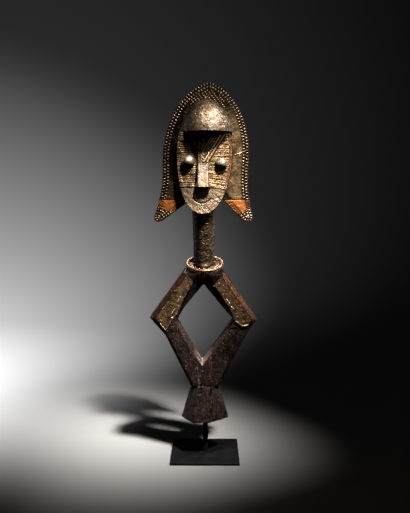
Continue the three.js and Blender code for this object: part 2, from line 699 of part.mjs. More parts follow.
// Ribbed brass under the front of the rim, held between the arms
function collarSheet() {
  const segments = RIBS.count * 2;
  const ribbed = collarBowl(sheetTo, 4, segments);
  const place = ribbed.attributes.position;
  for (let i = 0; i < place.count; i += 1) {
    const angle = Math.atan2(place.getY(i), place.getX(i) - COLLAR.x);
    const swell = 1 + RIBS.height * (1 + Math.cos(angle * RIBS.count));
    place.setX(i, COLLAR.x + (place.getX(i) - COLLAR.x) * swell);
    place.setY(i, place.getY(i) * swell);
  }
  const shell = tipped(ribbed).subtract(tipped(collarBowl(sheetFrom, 5, segments)));
  const front = prism(COLLAR_SHEET, -FAR, -3);
  return shell.intersect(front).subtract(lozenge(CLEARANCE)).intersect(belowRim(COLLAR.rimTube + 1));
}

function collarLining() {
  const lining = tipped(turned(collarHollow(sheetFrom), COLLAR.x, STEPS.lining));
  const inside = tipped(turned(collarHollow(sheetTo), COLLAR.x, STEPS.lining));
  const inner = neck(sheetTo + CLEARANCE, COLLAR.rimZ - 30, COLLAR.rimZ + 30);
  return lining.subtract(inside).subtract(inner).intersect(belowRim(COLLAR.rimTube + 1));
}

function armSheet(region) {
  const front = -ARMS.halfDepth;
  return prism(region, front - sheetTo, front - sheetFrom)
    .intersect(prism(offset(UPPER_ARMS, -ARMS.chamfer - ARM_SHEET.edgeGap)))
    .subtract(prism(offset(OPENING_AT_FRONT, ARM_SHEET.edgeGap)));
}

// Copper strip on the outer bevel of an upper arm
function armEdge(side) {
  const shell = upperArms(sheetTo).subtract(upperArms(sheetFrom));
  const front = prism(offset(UPPER_ARMS, -ARMS.chamfer + 0.2));
  const [fromX, toX] = side < 0 ? [-FAR, -ARM_EDGE.fromX] : [ARM_EDGE.fromX, FAR];
  const field = box(fromX, toX, -FAR, ARMS.chamfer - ARMS.halfDepth, ARM_EDGE.bottomZ, ARM_EDGE.topZ);
  return shell.subtract(front).intersect(field);
}

function stand() {
  const half = PLATE.side / 2;
  const seat = PLATE.thickness - PLATE.seatDepth;
  const hole = ROD.side / 2 + CLEARANCE;
  const plate = box(-half, half, -half, half, 0, PLATE.thickness)
    .subtract(box(ROD.x - hole, ROD.x + hole, -hole, hole, seat, PLATE.thickness + 1));
  const top = PLATE.thickness + ROD.bareLength + ROD.socketDepth;
  const reach = ROD.side / 2;
  const rod = box(ROD.x - reach, ROD.x + reach, -reach, reach, seat + CLEARANCE, top);
  return { stand_plate: plate, stand_rod: rod };
}

// Every mesh of the object by name, in its material
function addAll(group, material, shapes) {
  for (const [name, shape] of Object.entries(shapes)) {
    const mesh = new THREE.Mesh(geometryOf(shape), material);
    mesh.name = name;
    group.add(mesh);
  }
}

const { temple_strip_right, ...cheekStrips } = cheeks();
const { pendant_copper_left, pendant_copper_right, ...brassSheets } = hoodSheets();

const figure = new THREE.Group();
figure.position.z = PLATE.thickness + ROD.bareLength;
addAll(figure, MATERIAL.wood, { wood_figure: woodFigure() });
addAll(figure, MATERIAL.brass, {
  ...brassSheets,
  ...cheekStrips,
  neck_sheet: neckSheet(),
  collar_sheet: collarSheet(),
  collar_lining: collarLining(),
  arm_sheet_left: armSheet(ARM_SHEET_LEFT),
  arm_sheet_right: armSheet(ARM_SHEET_RIGHT),
});
addAll(figure, MATERIAL.bright, {
  forehead_sheet: foreheadSheet(),
  nose_sheet: noseSheet(),
  chin_sheet: chinSheet(),
  eye_left: eye(EYE.left),
  eye_right: eye(EYE.right),
});
addAll(figure, MATERIAL.copper, {
  pendant_copper_left,
  pendant_copper_right,
  temple_strip_right,
  collar_rim: collarRim(),
  arm_edge_left: armEdge(-1),
  arm_edge_right: armEdge(1),
});
addAll(figure, MATERIAL.dark, { brow_plate: browPlate() });

const object = new THREE.Group();
addAll(object, MATERIAL.steel, stand());
object.add(figure);

export default object;
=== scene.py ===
"""Kota reliquary figure: a wood carving dressed with hammered metal sheets, on a black steel stand.

The classes keep their sizes in millimetres, in the figure's own frame: its origin is under the middle of the
foot, and it faces -Y. A finished piece is scaled to metres and lifted to its height over the stand's plate.
"""

import logging
import math
import random
from dataclasses import dataclass, field
from enum import Enum
from typing import Callable, Iterable, Sequence

import bmesh
import bpy
import numpy as np
from mathutils import Matrix, Vector, geometry, noise


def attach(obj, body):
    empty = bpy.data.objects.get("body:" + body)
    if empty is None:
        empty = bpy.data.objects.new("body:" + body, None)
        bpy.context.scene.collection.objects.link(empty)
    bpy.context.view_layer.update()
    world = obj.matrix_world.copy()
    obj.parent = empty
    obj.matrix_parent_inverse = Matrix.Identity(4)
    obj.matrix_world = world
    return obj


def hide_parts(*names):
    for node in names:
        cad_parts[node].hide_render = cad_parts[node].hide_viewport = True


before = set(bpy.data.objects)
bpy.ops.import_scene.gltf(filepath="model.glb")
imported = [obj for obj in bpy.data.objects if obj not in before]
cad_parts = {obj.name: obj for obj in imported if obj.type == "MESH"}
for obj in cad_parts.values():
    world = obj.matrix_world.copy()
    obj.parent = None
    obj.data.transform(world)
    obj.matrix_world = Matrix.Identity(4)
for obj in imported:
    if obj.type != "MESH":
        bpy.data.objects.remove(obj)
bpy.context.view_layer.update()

logging.basicConfig(level=logging.INFO, format="%(message)s")
LOG = logging.getLogger("figure")

MM = 0.001
STAND_HEIGHT = 56.0
BODY = "root"
SHEET_GAP = 0.35
SHEET_THICKNESS = 0.8
SHEET_FRONT = SHEET_GAP + SHEET_THICKNESS
FAR_BACK = -300.0
FAR = 500.0

Point = tuple[float, float]
Place = tuple[float, float, float]
Colour = tuple[float, float, float]
Field = Callable[[np.ndarray, np.ndarray], np.ndarray]


class Slot(Enum):
    """The record's material slots."""

    WOOD = "aged_wood"
    HOOD = "hood_brass"
    CHEEK = "cheek_brass"
    PALE = "pale_brass"
    DARK = "dark_sheet"
    NECK = "neck_brass"
    ARM = "arm_brass"
    COPPER = "copper_sheet"
    STEEL = "black_steel"


class Lit(Enum):
    """What a light falls on."""

    ALL = "all"
    FIGURE = "figure"
    STAND = "stand"
    GROUND = "ground"


class Nodes:
    """Builds a material's node tree with short calls."""

    def __init__(self, name: str) -> None:
        """Starts a material with an empty tree.

        Args:
            name: the material's name.
        """
        self.material = bpy.data.materials.new(name)
        self.material.use_nodes = True
        self.tree = self.material.node_tree
        self.tree.nodes.clear()
        output = self.tree.nodes.new("ShaderNodeOutputMaterial")
        self.shader = self.tree.nodes.new("ShaderNodeBsdfPrincipled")
        self.tree.links.new(self.shader.outputs[0], output.inputs[0])
        self.place = self.tree.nodes.new("ShaderNodeTexCoord").outputs["Object"]

    def link(self, value: object, socket: bpy.types.NodeSocket) -> None:
        """Feeds a socket from another socket or from a plain value.

        Args:
            value: the socket or the value that feeds it.
            socket: the socket that is fed.
        """
        if isinstance(value, bpy.types.NodeSocket):
            self.tree.links.new(value, socket)
        else:
            socket.default_value = value

    def stretched(self, scale: Sequence[float], turn: float = 0.0) -> bpy.types.NodeSocket:
        """Gives object coordinates that are stretched and turned.

        Args:
            scale: the factor along each axis.
            turn: the turn about the Y axis, in degrees.

        Returns:
            The mapped coordinates.
        """
        mapping = self.tree.nodes.new("ShaderNodeMapping")
        mapping.inputs["Scale"].default_value = scale
        mapping.inputs["Rotation"].default_value = (0.0, math.radians(turn), 0.0)
        self.tree.links.new(self.place, mapping.inputs["Vector"])
        return mapping.outputs[0]

    def noise(self, size_mm: float, detail: float = 4.0, rough: float = 0.55,
              twist: float = 0.0, at: bpy.types.NodeSocket | None = None) -> bpy.types.NodeSocket:
        """Adds a noise whose blotches have a size in millimetres.

        Args:
            size_mm: the size of a blotch.
            detail: the number of finer layers.
            rough: how strong the finer layers are.
            twist: how far the pattern is distorted.
            at: coordinates to read in place of the object's own.

        Returns:
            The noise, from 0 to 1.
        """
        node = self.tree.nodes.new("ShaderNodeTexNoise")
        node.inputs["Scale"].default_value = 1.0 / (size_mm * MM)
        node.inputs["Detail"].default_value = detail
        node.inputs["Roughness"].default_value = rough
        node.inputs["Distortion"].default_value = twist
        self.tree.links.new(at or self.place, node.inputs["Vector"])
        return node.outputs[0]

    def attribute(self, name: str) -> bpy.types.NodeSocket:
        """Reads a number that the mesh keeps at its vertices.

        Args:
            name: the number's name on the mesh.

        Returns:
            The number.
        """
        node = self.tree.nodes.new("ShaderNodeAttribute")
        node.attribute_name = name
        return node.outputs["Fac"]

    def ramp(self, value: bpy.types.NodeSocket, low: float, high: float,
             to_low: float = 0.0, to_high: float = 1.0) -> bpy.types.NodeSocket:
        """Maps the range low to high smoothly onto another range.

        Args:
            value: the number to map.
            low: where the rise starts.
            high: where it ends.
            to_low: the result up to low.
            to_high: the result from high on.

        Returns:
            The mapped number.
        """
        node = self.tree.nodes.new("ShaderNodeMapRange")
        node.interpolation_type = "SMOOTHSTEP"
        for index, number in enumerate((low, high, to_low, to_high), 1):
            node.inputs[index].default_value = number
        self.tree.links.new(value, node.inputs[0])
        return node.outputs[0]

    def math(self, operation: str, first: object, second: object) -> bpy.types.NodeSocket:
        """Joins two numbers, and keeps the result between 0 and 1.

        Args:
            operation: how they are joined.
            first: a number or a socket.
            second: a number or a socket.

        Returns:
            The result.
        """
        node = self.tree.nodes.new("ShaderNodeMath")
        node.operation = operation
        node.use_clamp = True
        self.link(first, node.inputs[0])
        self.link(second, node.inputs[1])
        return node.outputs[0]

    def mix(self, share: object, first: object, second: object) -> bpy.types.NodeSocket:
        """Mixes two colours.

        Args:
            share: how much of the second colour shows.
            first: a colour or a socket.
            second: a colour or a socket.

        Returns:
            The mixed colour.
        """
        node = self.tree.nodes.new("ShaderNodeMix")
        node.data_type = "RGBA"
        self.link(share, node.inputs["Factor"])
        self.link((*first, 1.0) if isinstance(first, tuple) else first, node.inputs[6])
        self.link((*second, 1.0) if isinstance(second, tuple) else second, node.inputs[7])
        return node.outputs[2]

    def bump(self, height: bpy.types.NodeSocket, depth_mm: float, strength: float,
             under: bpy.types.NodeSocket | None = None) -> bpy.types.NodeSocket:
        """Adds fine relief to the shading.

        Args:
            height: the relief, from 0 to 1.
            depth_mm: its full depth.
            strength: how much of it shows.
            under: the normal of an earlier bump.

        Returns:
            The changed normal.
        """
        node = self.tree.nodes.new("ShaderNodeBump")
        node.inputs["Strength"].default_value = strength
        node.inputs["Distance"].default_value = depth_mm * MM
        self.tree.links.new(height, node.inputs["Height"])
        if under is not None:
            self.tree.links.new(under, node.inputs["Normal"])
        return node.outputs[0]


@dataclass(frozen=True)
class Metal:
    """A hammered sheet metal: worn bright on what stands proud, with brown grime in its hollows."""

    slot: Slot
    bright: Colour
    body: Colour
    shade: Colour
    grime: Colour
    gloss: tuple[float, float] = (0.4, 0.58)
    dirt: float = 0.5
    patch_mm: float = 11.0
    crinkle: float = 0.5
    mottle: tuple[float, float] = (0.0, 1.0)

    def material(self) -> bpy.types.Material:
        """Builds the material.

        Returns:
            The material.
        """
        nodes = Nodes(self.slot.value)
        relief = nodes.attribute("relief")
        patches = nodes.noise(self.patch_mm, 4.0, 0.62, 0.8)
        spots = nodes.noise(2.6, 5.0, 0.68, 0.6)
        specks = nodes.noise(0.9, 4.0, 0.65, 0.3)
        fresh = nodes.attribute("fresh")
        rubbed = nodes.math("MULTIPLY", nodes.ramp(spots, 0.46, 0.66), nodes.ramp(patches, 0.36, 0.56))
        rubbed = nodes.math("MULTIPLY", rubbed, nodes.math("SUBTRACT", 1.0, fresh))
        clean = nodes.math("ADD", nodes.ramp(patches, 0.4, 0.62, *self.mottle), fresh)
        tone = nodes.mix(clean, self.shade, self.body)
        worn = nodes.math("ADD", nodes.math("MULTIPLY", rubbed, 0.6), nodes.ramp(relief, 0.15, 0.8))
        metal = nodes.mix(worn, tone, self.bright)
        low = 0.66 - 0.26 * self.dirt
        grains = nodes.math("ADD", nodes.math("MULTIPLY", spots, 0.6), nodes.math("MULTIPLY", specks, 0.4))
        soot_and_shade = nodes.ramp(grains, low, low + 0.1)
        kept = nodes.ramp(relief, 0.1, 0.55, 1.0, 0.1)
        hollow = nodes.ramp(relief, -0.3, 0.04, 1.0, 0.0)
        grimy = nodes.math("MAXIMUM", nodes.math("MULTIPLY", soot_and_shade, kept), hollow)
        # The per-vertex darkening read here holds settled grime and painted shade, and mixes the metal
        # towards its grime colour.
        settled_and_shaded = nodes.math("MULTIPLY", nodes.attribute("soot_and_shade"), nodes.ramp(spots, 0.36, 0.6, 0.65, 1.0))
        smoked_and_shaded = nodes.mix(settled_and_shaded, metal, self.grime)
        nodes.link(nodes.mix(grimy, smoked_and_shaded, self.grime), nodes.shader.inputs["Base Color"])
        nodes.link(nodes.ramp(grimy, 0.1, 0.9, 1.0, 0.6), nodes.shader.inputs["Metallic"])
        polish = nodes.ramp(specks, 0.3, 0.7, *self.gloss)
        rough = nodes.math("ADD", polish, nodes.ramp(grimy, 0.2, 1.0, 0.0, 0.2))
        nodes.link(rough, nodes.shader.inputs["Roughness"])
        hammered = nodes.bump(spots, 0.8, self.crinkle)
        nodes.link(nodes.bump(specks, 0.3, 0.5, hammered), nodes.shader.inputs["Normal"])
        return nodes.material


METALS = (
    Metal(Slot.HOOD, bright=(0.7, 0.52, 0.34), body=(0.4, 0.255, 0.11), shade=(0.17, 0.1, 0.042),
          grime=(0.01, 0.006, 0.003), dirt=0.4, crinkle=0.4),
    Metal(Slot.CHEEK, bright=(0.84, 0.61, 0.4), body=(0.52, 0.33, 0.15), shade=(0.25, 0.15, 0.07),
          grime=(0.016, 0.009, 0.006), dirt=0.42, patch_mm=7.0),
    Metal(Slot.PALE, bright=(0.69, 0.62, 0.55), body=(0.39, 0.275, 0.17), shade=(0.19, 0.115, 0.062),
          grime=(0.025, 0.015, 0.009), gloss=(0.46, 0.62), dirt=0.4, patch_mm=6.0, crinkle=0.45),
    Metal(Slot.DARK, bright=(0.9, 0.64, 0.4), body=(0.3, 0.19, 0.1), shade=(0.13, 0.08, 0.045),
          grime=(0.006, 0.004, 0.003), dirt=0.7),
    Metal(Slot.NECK, bright=(0.62, 0.42, 0.24), body=(0.19, 0.112, 0.047), shade=(0.06, 0.035, 0.016),
          grime=(0.01, 0.006, 0.004), dirt=0.6, patch_mm=9.0, crinkle=0.6),
    Metal(Slot.ARM, bright=(0.66, 0.52, 0.37), body=(0.3, 0.162, 0.064), shade=(0.13, 0.068, 0.031),
          grime=(0.01, 0.006, 0.003), dirt=0.62, patch_mm=8.0, crinkle=0.7),
    Metal(Slot.COPPER, bright=(0.88, 0.6, 0.43), body=(1.0, 0.33, 0.09), shade=(0.22, 0.09, 0.05),
          grime=(0.012, 0.006, 0.004), dirt=0.35, patch_mm=8.0, mottle=(0.0, 0.22)),
)


@dataclass(frozen=True)
class Wood:
    """Old hard wood, nearly black with handling, with a crust in its hollows, painted shade where the
    carving marks it low, and dust on what faces up.
    """

    slot: Slot = Slot.WOOD
    deep: Colour = (0.0035, 0.0022, 0.0016)
    body: Colour = (0.013, 0.0065, 0.0042)
    red: Colour = (0.07, 0.027, 0.016)
    dust: Colour = (0.38, 0.28, 0.23)

    def material(self) -> bpy.types.Material:
        """Builds the material: upright grain, a dark crust and dusty worn places.

        Returns:
            The material.
        """
        nodes = Nodes(self.slot.value)
        along = nodes.stretched((1.0, 1.0, 0.14))
        relief = nodes.attribute("relief")
        dusted = nodes.attribute("dust")
        fibre = nodes.noise(1.8, 6.0, 0.65, 0.4, along)
        stains = nodes.noise(14.0, 4.0, 0.6, 0.8)
        crust = nodes.noise(2.6, 6.0, 0.72, 0.6)
        base = nodes.mix(nodes.ramp(stains, 0.38, 0.62), self.deep, self.body)
        grain = nodes.math("MULTIPLY", nodes.ramp(fibre, 0.5, 0.68), nodes.ramp(crust, 0.4, 0.56, 0.2, 1.0))
        warm = nodes.mix(grain, base, self.red)
        flecks = nodes.math("MULTIPLY", nodes.ramp(crust, 0.59, 0.64), nodes.ramp(fibre, 0.5, 0.6))
        worn = nodes.math("MULTIPLY", nodes.ramp(relief, 0.3, 0.9), nodes.ramp(crust, 0.4, 0.6))
        powder = nodes.math("MULTIPLY", dusted, nodes.ramp(crust, 0.42, 0.6, 0.05, 1.0))
        bare = nodes.math("MAXIMUM", nodes.math("MULTIPLY", flecks, 0.8), worn)
        pale = nodes.math("MAXIMUM", bare, powder)
        top = nodes.mix(pale, warm, self.dust)
        # Low relief takes the deepest colour: crust in the hollows, and painted shade where the carving
        # marks shadowed wood as low.
        crust_and_painted_shade = nodes.ramp(relief, -0.8, -0.15, 0.9, 0.0)
        nodes.link(nodes.mix(crust_and_painted_shade, top, self.deep), nodes.shader.inputs["Base Color"])
        nodes.link(nodes.ramp(crust, 0.3, 0.7, 0.26, 0.62), nodes.shader.inputs["Roughness"])
        polished = nodes.ramp(relief, -0.9, -0.2, 0.04, 0.34)
        undusted = nodes.ramp(dusted, 0.0, 0.12, 1.0, 0.12)
        sheen = nodes.math("MULTIPLY", polished, undusted)
        nodes.link(sheen, nodes.shader.inputs["Specular IOR Level"])
        crusted = nodes.bump(crust, 1.2, 0.8)
        nodes.link(nodes.bump(fibre, 0.6, 0.6, crusted), nodes.shader.inputs["Normal"])
        return nodes.material


@dataclass(frozen=True)
class Steel:
    """Matt black steel with faint handling marks."""

    slot: Slot = Slot.STEEL
    body: Colour = (0.0035, 0.0035, 0.004)
    rubbed: Colour = (0.006, 0.006, 0.0065)

    def material(self) -> bpy.types.Material:
        """Builds the material.

        Returns:
            The material.
        """
        nodes = Nodes(self.slot.value)
        marks = nodes.noise(22.0, 4.0, 0.6, 0.5)
        grain = nodes.noise(0.6, 2.0)
        colour = nodes.mix(nodes.ramp(marks, 0.4, 0.75), self.body, self.rubbed)
        nodes.link(colour, nodes.shader.inputs["Base Color"])
        nodes.link(nodes.ramp(marks, 0.3, 0.7, 0.5, 0.64), nodes.shader.inputs["Roughness"])
        nodes.shader.inputs["Specular IOR Level"].default_value = 0.25
        nodes.link(nodes.bump(grain, 0.06, 0.25), nodes.shader.inputs["Normal"])
        return nodes.material


class Outline:
    """A closed polygon in the front view."""

    def __init__(self, points: Iterable[Point]) -> None:
        """Keeps the polygon's corners, given in order as (x, z)."""
        self.points = np.array(list(points), float)
        self.sides = list(zip(self.points, np.roll(self.points, -1, axis=0)))

    def contains(self, x: np.ndarray, z: np.ndarray) -> np.ndarray:
        """Tells which points lie inside.

        Args:
            x: the points' x.
            z: the points' z.

        Returns:
            True for each point inside.
        """
        inside = np.zeros(len(x), bool)
        for (ax, az), (bx, bz) in self.sides:
            if az != bz:
                crosses = (az > z) != (bz > z)
                inside ^= crosses & (x < ax + (z - az) * (bx - ax) / (bz - az))
        return inside

    def nearest(self, x: np.ndarray, z: np.ndarray) -> tuple[np.ndarray, np.ndarray, np.ndarray]:
        """Finds the closest point of the outline to each point.

        Args:
            x: the points' x.
            z: the points' z.

        Returns:
            The closest points' x and z, and the distances.
        """
        best, best_x, best_z = np.full(len(x), np.inf), x.copy(), z.copy()
        for (ax, az), (bx, bz) in self.sides:
            dx, dz = bx - ax, bz - az
            share = np.clip(((x - ax) * dx + (z - az) * dz) / max(dx * dx + dz * dz, 1e-12), 0.0, 1.0)
            side_x, side_z = ax + share * dx, az + share * dz
            distance = np.hypot(x - side_x, z - side_z)
            near = distance < best
            best[near], best_x[near], best_z[near] = distance[near], side_x[near], side_z[near]
        return best_x, best_z, best


def offset(points: Sequence[Point], distance: float) -> list[Point]:
    """Moves each side of a convex counterclockwise polygon outwards.

    Args:
        points: the corners.
        distance: how far the sides move.

    Returns:
        The new corners.
    """
    sides = []
    for (x, z), (next_x, next_z) in zip(points, [*points[1:], points[0]]):
        length = math.hypot(next_x - x, next_z - z)
        normal = ((next_z - z) / length, (x - next_x) / length)
        sides.append((normal, normal[0] * x + normal[1] * z + distance))
    corners = []
    for (before, reach_before), (normal, reach) in zip([sides[-1], *sides[:-1]], sides):
        cross = before[0] * normal[1] - before[1] * normal[0]
        x = (reach_before * normal[1] - reach * before[1]) / cross
        z = (reach * before[0] - reach_before * normal[0]) / cross
        corners.append((x, z))
    return corners


def walk(path: Sequence[Point], pitch: float, start: float = 0.0) -> list[Point]:
    """Steps along a path.

    Args:
        path: the path's points.
        pitch: the length of a step.
        start: the length before the first step.

    Returns:
        The points that the steps reach.
    """
    found, due = [], start
    for (ax, az), (bx, bz) in zip(path, path[1:]):
        length = math.hypot(bx - ax, bz - az)
        while due < length:
            share = due / length
            found.append((ax + share * (bx - ax), az + share * (bz - az)))
            due += pitch
        due -= length
    return found


def finer(path: Sequence[Point], steps: int) -> list[Point]:
    """Sets points along each stretch of a profile.

    Args:
        path: the profile's points.
        steps: the number of steps to each stretch.

    Returns:
        The points, with the profile's own among them.
    """
    found = []
    for (ax, az), (bx, bz) in zip(path, path[1:]):
        found += [(ax + (bx - ax) * step / steps, az + (bz - az) * step / steps) for step in range(steps)]
    return [*found, path[-1]]


def smoothstep(value: np.ndarray, low: float, high: float) -> np.ndarray:
    """Rises smoothly from 0 at low to 1 at high."""
    share = np.clip((value - low) / (high - low), 0.0, 1.0)
    return share * share * (3.0 - 2.0 * share)


def crumple(points: np.ndarray, size: float, seed: float, octaves: int = 3) -> np.ndarray:
    """Gives noise of about -1 to 1 at rows of x, y, z, in lumps of a size, which the seed moves."""
    shift = Vector((seed * 17.3, seed * 5.7, seed * 9.1))
    return np.array([noise.fractal(Vector(p) / size + shift, 0.9, 2.1, octaves) for p in points])


def creases(points: np.ndarray, size: float, seed: float) -> np.ndarray:
    """Gives sharp ridges, as in foil that was pressed flat again.

    Args:
        points: an array of x, y, z rows.
        size: the distance between ridges.
        seed: moves the pattern.

    Returns:
        A number for each point, 0 in the hollows and about 1 on a ridge.
    """
    shift = Vector((seed * 7.9, seed * 3.3, seed * 12.7))
    values = [noise.noise(Vector(p) / size + shift) for p in points]
    return 1.0 - np.clip(np.abs(np.array(values)) * 5.0, 0.0, 1.0)


def evenly(value: float) -> Field:
    """Makes a field that has the same value at every place.

    Args:
        value: the value.

    Returns:
        The field.
    """
    def same(x: np.ndarray, _z: np.ndarray) -> np.ndarray:
        """Gives the value once for each point."""
        return np.full(len(x), value)

    return same


@dataclass
class Relief:
    """What is worked into a sheet: beads and dots, raised and cut lines, and the sheet's own unevenness."""

    beads: list[tuple[float, float, float, float]] = field(default_factory=list)
    lines: list[tuple[Point, Point, float, float]] = field(default_factory=list)
    # Grime and painted shade, laid on the sheet's colour at each place.
    soot_and_shade: Field | None = None
    fresh: float = 0.0
    lumps: float = 0.25
    lump_size: float = 9.0
    crease: float = 0.12
    crease_size: float = 7.0
    seed: float = 1.0

    def row(self, points: Iterable[Point], radius: float, height: float) -> None:
        """Adds a row of beads, or of dots where the height is below 0."""
        self.beads += [(x, z, radius, height) for x, z in points]

    def line(self, points: Sequence[Point], half_width: float, height: float) -> None:
        """Adds a line through points, raised, or cut where the height is below 0."""
        self.lines += [(a, b, half_width, height) for a, b in zip(points, points[1:])]

    def bars(self, places: Iterable[tuple[float, float, float]], reach: float, half_width: float,
             height: float) -> None:
        """Adds short raised bars, a little uneven as by hand.

        Args:
            places: each bar's middle and its angle.
            reach: half of its length.
            half_width: half of its width.
            height: its height.
        """
        for x, z, angle in places:
            long = reach * random.uniform(0.8, 1.15)
            turn = angle + random.uniform(-0.15, 0.15)
            dx, dz = long * math.cos(turn), long * math.sin(turn)
            wide, high = half_width * random.uniform(0.85, 1.12), height * random.uniform(0.7, 1.1)
            self.lines.append(((x - dx, z - dz), (x + dx, z + dz), wide, high))

    def worked(self, x: np.ndarray, z: np.ndarray) -> np.ndarray:
        """Gives the height of beads and lines.

        Args:
            x: the points' x.
            z: the points' z.

        Returns:
            The height of each point.
        """
        up, down = np.zeros(len(x)), np.zeros(len(x))
        margin = 3.0
        low_x, high_x = x.min() - margin, x.max() + margin
        low_z, high_z = z.min() - margin, z.max() + margin
        for bead_x, bead_z, radius, height in self.beads:
            if low_x < bead_x < high_x and low_z < bead_z < high_z:
                share = ((x - bead_x) ** 2 + (z - bead_z) ** 2) / radius ** 2
                bump = height * np.clip(1.0 - share, 0.0, 1.0) ** 0.8
                moat = -0.28 * abs(height) * np.clip(1.0 - np.abs(share - 1.45) / 0.75, 0.0, 1.0)
                up, down = np.maximum(up, bump), np.minimum(down, np.minimum(bump, moat))
        for (ax, az), (bx, bz), half_width, height in self.lines:
            dx, dz = bx - ax, bz - az
            along = np.clip(((x - ax) * dx + (z - az) * dz) / (dx * dx + dz * dz), 0.0, 1.0)
            share = np.hypot(x - ax - along * dx, z - az - along * dz) / half_width
            bump = height * np.clip(1.0 - share ** 2, 0.0, 1.0)
            moat = -0.28 * abs(height) * np.clip(1.0 - np.abs(share - 1.25) / 0.5, 0.0, 1.0)
            up, down = np.maximum(up, bump), np.minimum(down, np.minimum(bump, moat))
        return np.where(up > 0.0, up, down)

    def uneven(self, points: np.ndarray) -> np.ndarray:
        """Gives the sheet's own lumps and creases.

        Args:
            points: an array of x, y, z rows.

        Returns:
            The height of each point, which is never below 0.
        """
        lumps = self.lumps * (0.5 + 0.5 * crumple(points, self.lump_size, self.seed))
        ridges = self.crease * creases(points, self.crease_size, self.seed + 3.0)
        return np.clip(lumps + ridges, 0.0, None)


def coordinates(bm: bmesh.types.BMesh) -> np.ndarray:
    """Reads the vertices of a bmesh into an array of rows."""
    return np.array([v.co for v in bm.verts], float).reshape(-1, 3)


def place(bm: bmesh.types.BMesh, points: np.ndarray) -> None:
    """Moves the vertices of a bmesh to the rows of an array."""
    for vertex, point in zip(bm.verts, points):
        vertex.co = point


def mark(bm: bmesh.types.BMesh, values: np.ndarray, name: str = "relief") -> None:
    """Keeps a number at each vertex, which the finishes read by its name.

    Args:
        bm: the mesh.
        values: a number for each vertex.
        name: what the number is called.
    """
    layer = bm.verts.layers.float.get(name) or bm.verts.layers.float.new(name)
    for vertex, value in zip(bm.verts, values):
        vertex[layer] = float(value)


def emboss(bm: bmesh.types.BMesh, heights: np.ndarray, scale: float = 1.0) -> None:
    """Moves each vertex along its normal and keeps the height as relief.

    Args:
        bm: the mesh.
        heights: how far each vertex moves.
        scale: what the kept relief is multiplied by.
    """
    bm.normal_update()
    for vertex, height in zip(bm.verts, heights):
        vertex.co += vertex.normal * float(height)
    mark(bm, heights * scale)


def cut_off(bm: bmesh.types.BMesh, at: Sequence[float], outwards: Sequence[float]) -> None:
    """Cuts a mesh with a plane through a point, and drops what lies on the side that it faces."""
    whole = bm.verts[:] + bm.edges[:] + bm.faces[:]
    bmesh.ops.bisect_plane(bm, geom=whole, plane_co=at, plane_no=outwards, clear_outer=True)


class Workshop:
    """Turns modelled meshes into finished pieces of the figure."""

    def __init__(self) -> None:
        """Builds every finish once."""
        self.pieces: list[bpy.types.Object] = []
        self.finishes = {finish.slot: finish.material() for finish in (Wood(), Steel(), *METALS)}

    def finish(self, name: str, bm: bmesh.types.BMesh, slot: Slot, nodes: Iterable[str] = (),
               sharp_degrees: float = 50.0, lift: float = STAND_HEIGHT) -> bpy.types.Object:
        """Makes a piece of a bmesh and ties it to the model.

        Args:
            name: the piece's name.
            bm: its mesh in millimetres, which is freed.
            slot: its finish.
            nodes: the CAD nodes that it stands for.
            sharp_degrees: edges sharper than this stay crisp.
            lift: how far it is raised.

        Returns:
            The piece.
        """
        if bm.verts.layers.float.get("relief") is None:
            mark(bm, np.zeros(len(bm.verts)))
        scale = Matrix.Scale(MM, 4) @ Matrix.Translation((0.0, 0.0, lift))
        bmesh.ops.transform(bm, matrix=scale, verts=bm.verts)
        mesh = bpy.data.meshes.new(name)
        bm.to_mesh(mesh)
        bm.free()
        mesh.polygons.foreach_set("use_smooth", [True] * len(mesh.polygons))
        mesh.set_sharp_from_angle(angle=math.radians(sharp_degrees))
        mesh.materials.append(self.finishes[slot])
        piece = bpy.data.objects.new(name, mesh)
        bpy.context.scene.collection.objects.link(piece)
        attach(piece, BODY)
        if nodes:
            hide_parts(*nodes)
        self.pieces.append(piece)
        LOG.info("%s: %d faces", name, len(mesh.polygons))
        return piece


